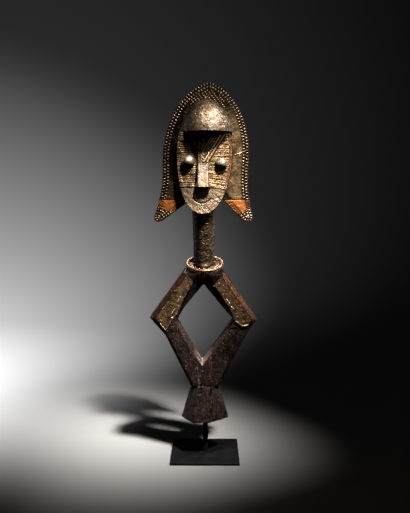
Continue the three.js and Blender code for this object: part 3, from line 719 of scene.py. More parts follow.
@dataclass
class Sheet:
    """A thin metal sheet, cut to a region of the front view and laid over a surface."""

    inside: Sequence[Outline]
    surface: Field
    relief: Relief
    outside: Sequence[Outline] = ()
    cell: float = 0.6

    def contains(self, x: np.ndarray, z: np.ndarray) -> np.ndarray:
        """Tells which points the region holds.

        Args:
            x: the points' x.
            z: the points' z.

        Returns:
            True for each point inside.
        """
        held = np.ones(len(x), bool)
        for outline in self.inside:
            held &= outline.contains(x, z)
        for outline in self.outside:
            held &= ~outline.contains(x, z)
        return held

    def pulled_in(self, x: np.ndarray, z: np.ndarray) -> tuple[np.ndarray, np.ndarray]:
        """Moves points that lie outside onto the region's edge.

        Args:
            x: the points' x.
            z: the points' z.

        Returns:
            The new x and z.
        """
        rules = [(outline, True) for outline in self.inside] + [(outline, False) for outline in self.outside]
        for _ in range(4):
            for outline, wanted in rules:
                wrong = outline.contains(x, z) != wanted
                if wrong.any():
                    x[wrong], z[wrong], _distance = outline.nearest(x[wrong], z[wrong])
        return x, z

    def build(self) -> bmesh.types.BMesh:
        """Cuts, lays, works and thickens the sheet.

        Returns:
            The mesh.
        """
        low = np.max([outline.points.min(0) for outline in self.inside], axis=0) - self.cell
        high = np.min([outline.points.max(0) for outline in self.inside], axis=0) + self.cell
        size, middle = high - low, (high + low) / 2.0
        bm = bmesh.new()
        turn = Matrix.Translation((middle[0], 0.0, middle[1])) @ Matrix.Rotation(math.pi / 2, 4, "X")
        bmesh.ops.create_grid(
            bm,
            x_segments=max(2, math.ceil(size[0] / self.cell)),
            y_segments=max(2, math.ceil(size[1] / self.cell)),
            size=0.5,
            matrix=turn @ Matrix.Diagonal((size[0], size[1], 1.0, 1.0)),
        )
        points = coordinates(bm)
        held = self.contains(points[:, 0], points[:, 2])
        bm.verts.index_update()
        spare = [face for face in bm.faces if not any(held[vertex.index] for vertex in face.verts)]
        bmesh.ops.delete(bm, geom=spare, context="FACES")
        points = coordinates(bm)
        outer = ~self.contains(points[:, 0], points[:, 2])
        points[outer, 0], points[outer, 2] = self.pulled_in(points[outer, 0].copy(), points[outer, 2].copy())
        x, z = points[:, 0], points[:, 2]
        worked = self.relief.worked(x, z)
        points[:, 1] = self.surface(x, z)
        uneven = self.relief.uneven(points)
        points[:, 1] -= SHEET_FRONT + worked + uneven
        place(bm, points)
        mark(bm, worked + (uneven - self.relief.lumps / 2.0) * 0.6)
        # Keeps the grime and painted shade at each vertex, less on what stands raised.
        if self.relief.soot_and_shade:
            mark(bm, self.relief.soot_and_shade(x, z) * (1.0 - 0.4 * smoothstep(worked, 0.15, 0.6)), "soot_and_shade")
        mark(bm, np.full(len(x), self.relief.fresh), "fresh")
        bmesh.ops.solidify(bm, geom=bm.faces[:], thickness=SHEET_THICKNESS)
        return bm


@dataclass
class Hood:
    """The pointed hood board with its two pendants, dressed with seven sheets."""

    front_y: float = -6.0
    sweep: float = 8.0
    half_width: float = 64.0
    crown_z: float = 384.0
    crown_rise: float = 108.0
    crown_sweep: float = 0.35
    edge: float = 0.7
    steps: int = 24
    bead_insets: tuple[float, float] = (3.1, 7.7)
    bead_pitch: float = 4.4
    bead_height: float = 0.95
    fan_at: Point = (-1.5, 471.0)
    fan_pitch: tuple[float, float] = (4.4, 3.3)
    fan_middle_x: float = 3.0
    fan_reach: float = 25.0
    fan_low_z: float = 455.0
    fan_border: float = 3.4
    jitter: float = 0.3
    seam_gap: float = 0.2

    def path(self) -> list[Point]:
        """Draws the board's outline, clockwise from the left pendant's inner corner.

        Returns:
            The outline's points.
        """
        left, apex, right = (-62.0, 374.0), (6.2, 492.0), (64.0, 389.0)
        curves = [
            ((-61.9, 293.2), (-71.6, 288.7), (-76.0, 291.0), (-75.0, 300.0)),
            ((-75.0, 300.0), (-63.0, 332.0), (-61.0, 349.0), left),
            (left, (-62.0, 444.0), (-28.0, 485.0), apex),
            (apex, (36.0, 484.0), (64.5, 447.0), right),
            (right, (63.0, 364.0), (58.5, 339.0), (70.5, 299.0)),
            ((70.5, 299.0), (71.2, 290.7), (66.6, 288.3), (56.8, 292.0)),
        ]
        points = [(-29.4, 317.5)]
        for knot, handle, next_handle, next_knot in curves:
            bend = geometry.interpolate_bezier(
                (*knot, 0.0), (*handle, 0.0), (*next_handle, 0.0), (*next_knot, 0.0), self.steps + 1)
            points += [(p.x, p.y) for p in bend[:-1]]
        return points + [(56.8, 292.0), (31.3, 318.8), (24.0, 328.0), (-22.0, 326.0)]

    def inset(self, distance: float) -> list[Point]:
        """Holds the outline back from its edge.

        Args:
            distance: how far it is held back.

        Returns:
            The outline's points.
        """
        path = self.path()
        held = []
        for before, (x, z), after in zip([path[-1], *path[:-1]], path, [*path[1:], path[0]]):
            dx, dz = after[0] - before[0], after[1] - before[1]
            length = math.hypot(dx, dz)
            held.append((x + dz / length * distance, z - dx / length * distance))
        return held

    def front(self, x: np.ndarray, z: np.ndarray) -> np.ndarray:
        """Gives the y of the board's front.

        Args:
            x: the points' x.
            z: the points' z.

        Returns:
            The y of each point.
        """
        above = np.maximum(z - self.crown_z, 0.0) / self.crown_rise
        curve = (x / self.half_width) ** 2 + self.crown_sweep * above ** 2
        return self.front_y + self.sweep * curve

    def rim_rows(self, insets: Sequence[float], pitch: float) -> list[tuple[float, float, float]]:
        """Sets places along the outline, in rows.

        Args:
            insets: each row's distance from the edge.
            pitch: the distance between places.

        Returns:
            The places that keep their distance from every part of the edge, with the angle across it.
        """
        edge = Outline(self.path())
        found = []
        for inset in insets:
            row = walk(self.inset(inset)[:-2], pitch)
            points = np.array(row)
            distance = edge.nearest(points[:, 0], points[:, 1])[2]
            keep = (distance > inset * 0.86) & edge.contains(points[:, 0], points[:, 1])
            for (x, z), (next_x, next_z), kept in zip(row, row[1:], keep):
                if kept:
                    found.append((x, z, math.atan2(x - next_x, next_z - z)))
        return found

    def fan(self) -> list[Point]:
        """Sets the slanting rows of beads between the forehead and the apex.

        Returns:
            The beads' places.
        """
        along, across = (0.62, -0.785), (0.785, 0.62)
        start_x, start_z = self.fan_at
        row_pitch, bead_pitch = self.fan_pitch
        beads = []
        for row in range(-6, 7):
            for step in range(-10, 11):
                x = start_x + row_pitch * row * across[0] + bead_pitch * step * along[0]
                z = start_z + row_pitch * row * across[1] + bead_pitch * step * along[1]
                if abs(x - self.fan_middle_x) < self.fan_reach and z > self.fan_low_z:
                    off_x = random.uniform(-self.jitter, self.jitter)
                    off_z = random.uniform(-self.jitter, self.jitter)
                    beads.append((x + off_x, z + off_z))
        edge = Outline(self.path())
        points = np.array(beads)
        distance = edge.nearest(points[:, 0], points[:, 1])[2]
        clear = distance > self.bead_insets[1] + self.fan_border
        keep = clear & edge.contains(points[:, 0], points[:, 1])
        return [(float(x), float(z)) for x, z in points[keep]]

    def soot_and_shade(self, x: np.ndarray, z: np.ndarray) -> np.ndarray:
        """Gives how much grime has settled at the crown and along the border, and the painted shade on the
        left side.

        Args:
            x: the points' x.
            z: the points' z.

        Returns:
            The grime and painted shade at each point.
        """
        distance = Outline(self.path()).nearest(x, z)[2]
        border = 1.1 * (1.0 - smoothstep(distance, 8.5, 12.5))
        # Painted shade: the left side of the board is darkened.
        left = 1.25 * smoothstep(-x, 5.0, 36.0) * (0.55 + 0.45 * smoothstep(z, 340.0, 370.0))
        crown = 1.15 * smoothstep(z, 415.0, 465.0)
        return np.maximum(np.maximum(border, left), crown)

    def brass_relief(self, seed: float) -> Relief:
        """Works the border, the fan and the seams into the brass.

        Args:
            seed: moves the sheet's own lumps.

        Returns:
            The relief.
        """
        relief = Relief(lumps=0.5, lump_size=11.0, crease=0.14, crease_size=8.0, seed=seed, soot_and_shade=self.soot_and_shade)
        relief.bars(self.rim_rows(self.bead_insets, self.bead_pitch), 0.85, 1.1, self.bead_height)
        relief.line(self.inset(0.9)[:-2], 0.7, 0.4)
        relief.row(self.fan(), 1.3, 0.8)
        relief.line([(-5.8, 480.8), (11.2, 461.5)], 1.0, -0.8)
        relief.line([(-8.0, 479.5), (9.0, 460.2)], 0.5, 0.35)
        for number in range(4):
            x, z = -52.5 + 1.2 * number, 425.0 - 3.6 * number
            relief.line([(x, z), (x + 4.5, z - 3.0), (x + 8.0, z - 9.0)], 0.55, 0.4)
        relief.line([(42.0, 388.4), (50.0, 390.2), (61.5, 395.8)], 0.65, 0.55)
        relief.line([(42.0, 386.9), (51.0, 388.4)], 0.5, -0.5)
        for step in range(6):
            for x, z in ((-47.0 + 3.1 * step, 337.5 - 1.2 * step), (-46.0 + 3.1 * step, 332.4 - 0.8 * step)):
                relief.line([(x, z), (x + 1.4, z - 1.6)], 0.6, 0.4)
        for x in (-64.0, -60.0, -56.0, -52.0, 44.0, 48.0, 52.0, 56.0, 60.0):
            relief.line([(x, 326.6), (x, 328.2)], 0.8, 0.4)
        return relief

    def patch_grime_and_side_shade(self, x: np.ndarray, z: np.ndarray) -> np.ndarray:
        """Gives the grime along the punched edge of a copper patch, painted lighter on the left patch and
        darker on the right.
        """
        # Painted light and shade: the left patch is kept lighter than the right.
        painted_side_shade = np.where(x < 0.0, 0.35, 0.7)
        return painted_side_shade * (1.0 - smoothstep(Outline(self.path()).nearest(x, z)[2], 5.5, 9.5))

    def copper_relief(self, seed: float) -> Relief:
        """Punches the double rows of dots into a copper patch.

        Args:
            seed: moves the sheet's own lumps.

        Returns:
            The relief.
        """
        relief = Relief(lumps=0.5, lump_size=8.0, crease=0.15, seed=seed, fresh=1.0, soot_and_shade=self.patch_grime_and_side_shade)
        relief.row([(x, z) for x, z, _angle in self.rim_rows((2.6, 6.0), 3.3)], 1.05, -0.7)
        relief.line([(-100.0, 323.2), (100.0, 323.2)], 0.6, -0.4)
        for number in range(12):
            relief.row([(-72.0 + 3.2 * number, 316.8 - 0.95 * number)], 0.85, -0.5)
            relief.row([(38.0 + 3.2 * number, 296.5 + 1.75 * number)], 0.85, -0.5)
        return relief

    def tip_relief(self, seed: float) -> Relief:
        """Works rows of bars round a pendant's end.

        Args:
            seed: moves the sheet's own lumps.

        Returns:
            The relief.
        """
        relief = Relief(lumps=0.4, lump_size=8.0, seed=seed, soot_and_shade=evenly(0.8))
        relief.bars(self.rim_rows((2.8, 7.0, 11.0), 4.0), 0.8, 1.05, 0.85)
        return relief

    def side(self, seam: tuple[Point, Point], above: bool) -> Outline:
        """Gives everything on one side of a seam.

        Args:
            seam: the seam's two ends, from left to right.
            above: whether the upper side is kept.

        Returns:
            A large outline whose one side runs along the seam.
        """
        (ax, az), (bx, bz) = seam
        length = math.hypot(bx - ax, bz - az)
        dx, dz = (bx - ax) / length, (bz - az) / length
        up = 1.0 if above else -1.0
        corners = []
        for along, away in ((FAR_BACK, self.seam_gap), (FAR, self.seam_gap), (FAR, FAR), (FAR_BACK, FAR)):
            corners.append((ax + dx * along - dz * away * up, az + dz * along + dx * away * up))
        return Outline(corners)

    def dress(self, shop: Workshop, mask: "Mask") -> None:
        """Builds the seven sheets.

        Args:
            shop: finishes the pieces.
            mask: the face that they are cut round.
        """
        board = Outline(self.inset(self.edge))
        holes = (Outline(mask.oval(-0.65)), Outline(mask.dome_outline(1.45)))
        crown_left = ((-62.0, 426.7), (-20.0, 390.0))
        crown_right = ((20.0, 377.4), (70.0, 395.7))
        copper_top = ((-100.0, 324.5), (100.0, 324.5))
        tip_left, tip_right = ((-80.0, 315.5), (-40.0, 303.5)), ((45.0, 301.0), (75.0, 316.5))
        left = Outline([(-120.0, 200.0), (-13.0, 200.0), (-13.0, 520.0), (-120.0, 520.0)])
        right = Outline([(13.0, 200.0), (120.0, 200.0), (120.0, 520.0), (13.0, 520.0)])
        crown = [board, self.side(crown_left, True), self.side(crown_right, True)]
        self.sheet(shop, "hood_crown", "hood_sheet_crown", Slot.HOOD, crown, holes, self.brass_relief(1.0))
        halves = (("left", 2.0, left, crown_left, tip_left), ("right", 5.0, right, crown_right, tip_right))
        for name, seed, half, seam, tip in halves:
            upper = [board, half, self.side(seam, False), self.side(copper_top, True)]
            brass = self.brass_relief(seed)
            self.sheet(shop, f"hood_{name}", f"hood_sheet_{name}", Slot.HOOD, upper, holes, brass)
            patch = [board, half, self.side(copper_top, False), self.side(tip, True)]
            copper = self.copper_relief(seed + 1.0)
            node = f"pendant_copper_{name}"
            self.sheet(shop, f"pendant_patch_{name}", node, Slot.COPPER, patch, holes, copper)
            end = [board, half, self.side(tip, False)]
            beaded = self.tip_relief(seed + 2.0)
            node = f"pendant_tip_{name}"
            self.sheet(shop, f"pendant_end_{name}", node, Slot.HOOD, end, holes, beaded)

    def sheet(self, shop: Workshop, name: str, node: str, slot: Slot, inside: Sequence[Outline],
              holes: Sequence[Outline], relief: Relief) -> None:
        """Builds one sheet of the board, cut to its bounds and round its holes."""
        shop.finish(name, Sheet(inside, self.front, relief, holes, 0.6).build(), slot, [node])


@dataclass
class Mask:
    """The oval face, with its forehead, brow plate, nose, eyes, lamellae and chin."""

    chin_z: float = 303.5
    middle_z: float = 389.0
    top_z: float = 459.0
    half_width: float = 40.0
    front_y: float = -20.0
    side_drop: float = 7.0
    bow_z: float = 379.0
    bow_reach: float = 75.0
    bow: tuple[float, float] = (6.0, 3.0)
    ledge_z: float = 420.0
    dome: tuple[float, float, float] = (33.0, 32.0, 45.5)
    dome_at: tuple[float, float] = (1.5, -8.0)
    nose_x: float = -2.7
    nose_half: float = 6.5
    nose_base_z: float = 342.0
    nose_root_z: float = 396.0
    nose_tip_y: float = -33.5
    brow_top_x: tuple[float, float] = (-30.5, 32.5)
    brow_bottom_x: tuple[float, float] = (-10.3, 5.2)
    brow_bottom_z: float = 376.0
    cheek_bottom_z: float = 341.5
    strips: int = 13
    inset: float = 0.8
    seam: float = 0.4
    border_width: float = 3.4
    eye_radius: float = 9.7
    eye_places: tuple[tuple[str, float, float], ...] = (("left", -23.8, 377.1), ("right", 22.9, 374.3))
    fold_rings: tuple[float, ...] = (0.7, 0.79, 0.87, 0.95)
    fold_width: float = 0.018

    def lean(self, z: np.ndarray) -> np.ndarray:
        """Gives the x of the face's middle line, which leans at the chin."""
        return -0.5 - 2.5 * smoothstep(self.middle_z - z, 0.0, self.middle_z - self.chin_z)

    def front(self, x: np.ndarray, z: np.ndarray) -> np.ndarray:
        """Gives the y of the face's front.

        Args:
            x: the points' x.
            z: the points' z.

        Returns:
            The y of each point.
        """
        bow = np.where(z < self.bow_z, *self.bow)
        forward = bow * ((self.bow_z - z) / self.bow_reach) ** 2
        return self.front_y - forward + self.side_drop * ((x - self.lean(z)) / self.half_width) ** 2

    def oval(self, inset: float) -> list[Point]:
        """Draws the face's outline.

        Args:
            inset: how far it is held back from the edge.

        Returns:
            The outline's points, counterclockwise.
        """
        points = []
        for number in range(96):
            angle = 2.0 * math.pi * number / 96
            upper = math.sin(angle) > 0.0
            rise = self.top_z - self.middle_z if upper else self.middle_z - self.chin_z
            z = self.middle_z + (rise - inset) * math.sin(angle)
            across = math.copysign(abs(math.cos(angle)) ** (1.0 if upper else 0.93), math.cos(angle))
            lean = float(self.lean(np.array([z]))[0])
            points.append((lean + (self.half_width - inset) * across, z))
        return points

    def dome_outline(self, grow: float) -> list[Point]:
        """Draws the forehead's outline on the hood.

        Args:
            grow: how much larger than the dome it is.

        Returns:
            The outline's points.
        """
        wide, high = self.dome[0] + grow, self.dome[2] + grow
        middle, below = self.dome_at[0], self.ledge_z - 8.0
        arc = [math.pi * number / 48 for number in range(49)]
        points = [(middle + wide * math.cos(a), self.ledge_z + high * math.sin(a)) for a in arc]
        return points + [(middle - wide, below), (middle + wide, below)]

    def nose_line(self, z: np.ndarray) -> np.ndarray:
        """Gives the y of the nose's ridge at each height.

        Args:
            z: the heights.

        Returns:
            The y at each height.
        """
        root = self.front_y - 0.35
        share = np.clip((self.nose_root_z - z) / (self.nose_root_z - self.nose_base_z), 0.0, 1.0)
        return root + (self.nose_tip_y - root) * share

    def brow_front(self, x: np.ndarray, z: np.ndarray) -> np.ndarray:
        """Gives the y of the face with the nose's root on it.

        Args:
            x: the points' x.
            z: the points' z.

        Returns:
            The y of each point.
        """
        face = self.front(x, z)
        side = np.abs(x - self.nose_x) - self.nose_half - SHEET_FRONT
        beside = smoothstep(side, -0.5, 0.7)
        return face * beside + np.minimum(self.nose_line(z), face) * (1.0 - beside)

    def brow_outline(self, grow: float) -> list[Point]:
        """Draws the inverted triangle of the brow plate.

        Args:
            grow: how much larger than the plate it is.

        Returns:
            The outline's points, counterclockwise.
        """
        top, bottom = self.ledge_z - self.seam, self.brow_bottom_z
        (left, right), (low_left, low_right) = self.brow_top_x, self.brow_bottom_x
        return offset([(right, top), (left, top), (low_left, bottom), (low_right, bottom)], grow)

    def forehead(self, shop: Workshop) -> None:
        """Builds the crumpled sheet over the bulging forehead.

        Args:
            shop: finishes the piece.
        """
        bm = bmesh.new()
        grow = SHEET_FRONT
        size = Matrix.Diagonal((self.dome[0] + grow, self.dome[1] + grow, self.dome[2] + grow, 1.0))
        middle = Matrix.Translation((*self.dome_at, self.ledge_z))
        bmesh.ops.create_uvsphere(bm, u_segments=400, v_segments=256, radius=1.0, matrix=middle @ size)
        cut_off(bm, (0.0, 0.0, self.ledge_z + 0.2), (0.0, 0.0, -1.0))
        cut_off(bm, (0.0, -3.5, 0.0), (0.0, 1.0, 0.0))
        points = coordinates(bm)
        x, z = points[:, 0] - self.dome_at[0], points[:, 2] - self.ledge_z
        flap = smoothstep(x, 12.0, size[0][0]) * (1.0 - smoothstep(z, 4.0, 30.0))
        points[:, 0] += 4.5 * flap
        place(bm, points)
        ring = np.hypot(x / size[0][0], z / size[2][2])
        folds = sum(np.clip(1.0 - np.abs(ring - at) / self.fold_width, 0.0, 1.0) for at in self.fold_rings)
        heights = 0.4 * crumple(points, 6.5, 4.0, 4) + 0.2 * creases(points, 5.0, 2.0)
        upright = points * np.array([1.0, 1.0, 0.4])
        heights += 0.22 * creases(upright, 2.3, 6.0) + 0.45 * folds * smoothstep(x, 8.0, 18.0)
        low = smoothstep(points[:, 2], self.ledge_z + 1.0, self.ledge_z + 5.0)
        emboss(bm, heights * (0.35 + 0.65 * low) - 0.3)
        # Painted highlight: a bright band and a bright patch on the lower dome, raised in relief and cleared
        # of grime.
        band = np.exp(-((x - 10.0 - 0.15 * z) / 5.5) ** 2) * (1.0 - smoothstep(z, 22.0, 36.0))
        patch = np.exp(-((x + 5.0) / 8.0) ** 2 - ((z - 8.0) / 8.0) ** 2)
        mark(bm, heights * 0.9 - 0.04 + 0.2 * band)
        # Painted shade: the dome's top and its left side are darkened, over an even grime.
        painted_top_shade, painted_left_shade = 0.5 * smoothstep(z, 20.0, 36.0), 0.6 * smoothstep(-x, 12.0, 28.0)
        grime_and_painted_light = 0.36 - 0.36 * band - 0.25 * patch + painted_top_shade + painted_left_shade
        mark(bm, np.clip(grime_and_painted_light, 0.0, 1.1), "soot_and_shade")
        bmesh.ops.solidify(bm, geom=bm.faces[:], thickness=SHEET_THICKNESS)
        shop.finish("forehead", bm, Slot.PALE, ["forehead_sheet"])

    def brow_painted_shadow(self, x: np.ndarray, _z: np.ndarray) -> np.ndarray:
        """Gives the painted shadow of the forehead on the brow plate, which lies on its left half."""
        return 0.8 * (1.0 - smoothstep(x, -2.0, 8.0))

    def brow(self, shop: Workshop) -> None:
        """Builds the dark brow plate with its ridges, boss, lozenges and chevrons.

        Args:
            shop: finishes the piece.
        """
        relief = Relief(lumps=0.3, lump_size=7.0, crease=0.15, crease_size=5.0, seed=8.0,
                        soot_and_shade=self.brow_painted_shadow)
        left, right = self.brow_bottom_x
        slope = (self.brow_top_x[1] - right) / (self.ledge_z - self.brow_bottom_z)
        for shift in (2.2, 7.2):
            relief.line([(right - shift, 377.0), (right - shift + slope * 42.0, 419.0)], 1.7, 1.4)
        for shift in (11.0, 14.5, 18.0):
            x = right - shift
            relief.line([(x + slope * 18.0, 395.0), (x + slope * 40.0, 417.0)], 0.7, 0.6)
            x = left + shift
            relief.line([(x - slope * 20.0, 397.0), (x - slope * 38.0, 415.0)], 0.6, 0.45)
        relief.row([(-3.2, 409.5)], 2.3, 0.9)
        for z in (402.6, 397.2, 391.8, 386.4, 381.0):
            diamond = [(-3.2, z + 2.5), (-0.4, z), (-3.2, z - 2.5), (-6.0, z), (-3.2, z + 2.5)]
            relief.line(diamond, 0.55, 0.55)
        sheet = Sheet([Outline(self.brow_outline(0.0))], self.brow_front, relief, cell=0.5)
        shop.finish("brow", sheet.build(), Slot.DARK, ["brow_plate"])

    def nose(self, shop: Workshop) -> None:
        """Folds the nose's sheet over its ridge and spreads it into nostrils.

        Args:
            shop: finishes the piece.
        """
        bm = bmesh.new()
        bmesh.ops.create_grid(bm, x_segments=76, y_segments=72, size=1.0)
        points = coordinates(bm)
        across, up = points[:, 0].copy(), (points[:, 1] + 1.0) / 2.0
        top_z = 375.4
        z = self.nose_base_z + up * (top_z - self.nose_base_z)
        half = self.nose_half + SHEET_FRONT
        ridge = self.nose_line(z) - SHEET_FRONT
        depth = self.front(np.full(len(z), self.nose_x), z) + 1.5 - ridge
        corner = 1.6
        bend = math.pi / 2.0 * corner
        run = np.abs(across) * (half - corner + bend + depth - corner)
        turned = np.clip((run - (half - corner)) / bend, 0.0, 1.0) * math.pi / 2.0
        beyond = np.maximum(run - (half - corner) - bend, 0.0)
        x = np.minimum(run, half - corner) + corner * np.sin(turned)
        y = ridge + corner * (1.0 - np.cos(turned)) + beyond
        flare = 3.0 * (1.0 - smoothstep(z, 344.0, 351.5))
        x += flare * smoothstep(y - ridge, 0.3, 5.0)
        points = np.column_stack([self.nose_x + np.sign(across) * x, y, z])
        place(bm, points)
        relief = Relief(lumps=0.35, lump_size=7.0, crease=0.12, crease_size=5.0, seed=11.0)
        arc = [(self.nose_x - 3.6 + 0.9 * step, 366.6) for step in range(9)]
        for side in (-1.0, 1.0):
            lid = [(ax, az + side * 1.9 * math.sin(math.pi * step / 8)) for step, (ax, az) in enumerate(arc)]
            relief.line(lid, 0.5, 0.32)
        relief.line([(self.nose_x - 6.0, 372.6), (self.nose_x + 6.0, 373.2)], 0.6, -0.35)
        facing = y < ridge + 1.0
        worked, uneven = relief.worked(points[:, 0], z) * facing, relief.uneven(points)
        emboss(bm, worked + uneven)
        mark(bm, worked + uneven + 0.06)
        # Painted shade: the nose's upper part, under the forehead, and its sides are darkened over a light
        # grime.
        mark(bm, 0.06 + 0.4 * smoothstep(z, 360.0, 368.0) + 0.45 * ~facing, "soot_and_shade")
        bmesh.ops.solidify(bm, geom=bm.faces[:], thickness=SHEET_THICKNESS)
        shop.finish("nose", bm, Slot.PALE, ["nose_sheet"])

    def eyes(self, shop: Workshop) -> None:
        """Builds the two domed eyes.

        Args:
            shop: finishes the pieces.
        """
        for name, x, z in self.eye_places:
            bm = bmesh.new()
            y = float(self.front(np.array([x]), np.array([z]))[0]) - SHEET_FRONT
            middle = Matrix.Translation((x, y, z)) @ Matrix.Rotation(math.pi / 2, 4, "X")
            bmesh.ops.create_uvsphere(bm, u_segments=72, v_segments=56, radius=self.eye_radius,
                                      matrix=middle)
            cut_off(bm, (0.0, y + 2.0, 0.0), (0.0, 1.0, 0.0))
            points = coordinates(bm)
            uneven = 0.2 * crumple(points, 4.0, x) + 0.12 * creases(points, 3.0, z)
            emboss(bm, uneven - 0.1)
            mark(bm, 0.32 + uneven)
            # Painted shade: the lower half of each eye is darkened, more towards the lower left, over a
            # light grime.
            below = z - points[:, 2] + 0.25 * (x - points[:, 0])
            mark(bm, 0.15 + 1.4 * smoothstep(below, -0.5, 3.5), "soot_and_shade")
            bmesh.ops.solidify(bm, geom=bm.faces[:], thickness=SHEET_THICKNESS)
            shop.finish(f"eye_dome_{name}", bm, Slot.PALE, [f"eye_{name}"])

    def strip_height(self, side: int, border: float, x: float) -> float:
        """Gives the height of a border between two lamellae.

        Args:
            side: -1 on the left, 1 on the right.
            border: the border's number, from below.
            x: where along it.

        Returns:
            Its z: the right ones slant down below the eye, and all are a little uneven.
        """
        pitch = (self.ledge_z - self.cheek_bottom_z) / self.strips
        z = self.cheek_bottom_z + border * pitch
        slant = 0.0 if side < 0 else max(0.0, (385.0 - z) / (385.0 - self.cheek_bottom_z))
        wobble = 0.0
        if 0 < border < self.strips:
            wobble = 0.8 * math.sin(border * 2.7 + side) + 0.35 * math.sin(x * 0.16 + border * 2.1)
            wobble += 0.2 * math.sin(x * 0.47 + border * 5.3)
        return z - math.tan(math.radians(12.0 * slant)) * (abs(x) - 10.0) + wobble

    def border_line(self, side: int, border: int, shift: float) -> list[Point]:
        """Follows a border between lamellae from the nose outwards, raised by the shift."""
        places = [side * (2.0 + 58.0 * number / 29) for number in range(30)]
        return [(x, self.strip_height(side, border, x) + shift) for x in places]

    def lamella(self, shop: Workshop, side: int, number: int, inset: float,
                holes: Sequence[Outline]) -> None:
        """Builds one narrow strip of a cheek.

        Args:
            shop: finishes the piece.
            side: -1 on the left, 1 on the right.
            number: its number, from below.
            inset: how far its end is held back from the face's edge.
            holes: what is cut from it.
        """
        name = "left" if side < 0 else "right"
        half = self.seam / 2.0
        lower = self.border_line(side, number, half)
        upper = self.border_line(side, number + 1, -half)
        along = np.array([x for x, _z in lower]) * side
        low_z, high_z = np.array([z for _x, z in lower]), np.array([z for _x, z in upper])

        def share_up(x: np.ndarray, z: np.ndarray) -> np.ndarray:
            """Gives how far up the strip each point is, from 0 to 1."""
            low, high = np.interp(x * side, along, low_z), np.interp(x * side, along, high_z)
            return np.clip((z - low) / (high - low), 0.0, 1.0)

        def surface(x: np.ndarray, z: np.ndarray) -> np.ndarray:
            """Rounds the strip and lifts its lower edge, as on clapboards.

            Args:
                x: the points' x.
                z: the points' z.

            Returns:
                The y of each point.
            """
            up = share_up(x, z)
            wave = 0.3 + 0.25 * np.sin(x * 0.21 + number * 1.9) + 0.2 * np.sin(x * 0.53 + number)
            rounded = 0.3 * np.sqrt(np.clip(4.0 * up * (1.0 - up), 0.0, 1.0))
            return self.front(x, z) - rounded - 0.5 * (1.0 - up) - np.clip(wave, 0.0, None)

        def soot_and_shade(x: np.ndarray, z: np.ndarray) -> np.ndarray:
            """Gives painted shade under the lip of the next strip, over an even light grime."""
            return 0.1 + 0.75 * smoothstep(share_up(x, z), 0.8, 0.98)

        relief = Relief(lumps=0.35, lump_size=4.0, crease=0.2, crease_size=2.6, seed=number + 20.0 * side,
                        soot_and_shade=soot_and_shade)
        middle = [(x, (a + b) / 2.0) for (x, a), (_x, b) in zip(lower, upper)]
        first = random.randrange(3, 9)
        relief.line(middle[first:first + random.randrange(9, 20)], 0.45, -0.4)
        inside = [Outline([*lower, *upper[::-1]]), Outline(self.oval(inset))]
        bm = Sheet(inside, surface, relief, holes, 0.45).build()
        label = f"{number + 1:02d}"
        shop.finish(f"lamella_{name}_{label}", bm, Slot.CHEEK, [f"cheek_strip_{name}_{label}"])

    def cheeks(self, shop: Workshop) -> None:
        """Builds the lamellae of both cheeks and the copper border on the right.

        Args:
            shop: finishes the pieces.
        """
        brow = Outline(self.brow_outline(self.seam))
        nose_side = self.nose_half + SHEET_FRONT + self.seam
        left, right, low, high = self.nose_x - nose_side, self.nose_x + nose_side, 330.0, self.brow_bottom_z
        nose = Outline([(left, low), (right, low), (right, high), (left, high)])
        for number in range(self.strips):
            self.lamella(shop, -1, number, self.inset, (brow, nose))
            beside_border = self.border_width + self.seam if number else 0.0
            self.lamella(shop, 1, number, self.inset + beside_border, (brow, nose))
        foot = self.border_line(1, 1, self.seam / 2.0)[4:]
        ledge = self.ledge_z - self.seam / 2.0
        reach = Outline([*foot, (80.0, foot[-1][1]), (80.0, ledge), (10.0, ledge)])
        relief = Relief(lumps=0.3, lump_size=4.0, crease=0.2, crease_size=4.0, seed=31.0)
        inner = Outline(self.oval(self.inset + self.border_width))
        border = Sheet([reach, Outline(self.oval(self.inset))], self.front, relief, [inner], 0.5)
        shop.finish("temple_border", border.build(), Slot.COPPER, ["temple_strip_right"])

    def nose_shade(self, x: np.ndarray, z: np.ndarray) -> np.ndarray:
        """Gives the painted shadow under the nose, and painted shade on the chin's upper right.

        Args:
            x: the points' x.
            z: the points' z.

        Returns:
            The painted shade at each point.
        """
        across = np.abs(x - self.nose_x + 1.5)
        shade = 0.85 * (1.0 - smoothstep(across, 8.0, 10.5)) * smoothstep(z, 322.5, 326.0)
        return np.maximum(shade, 0.3 * smoothstep(z + 0.4 * x, 306.0, 318.0))

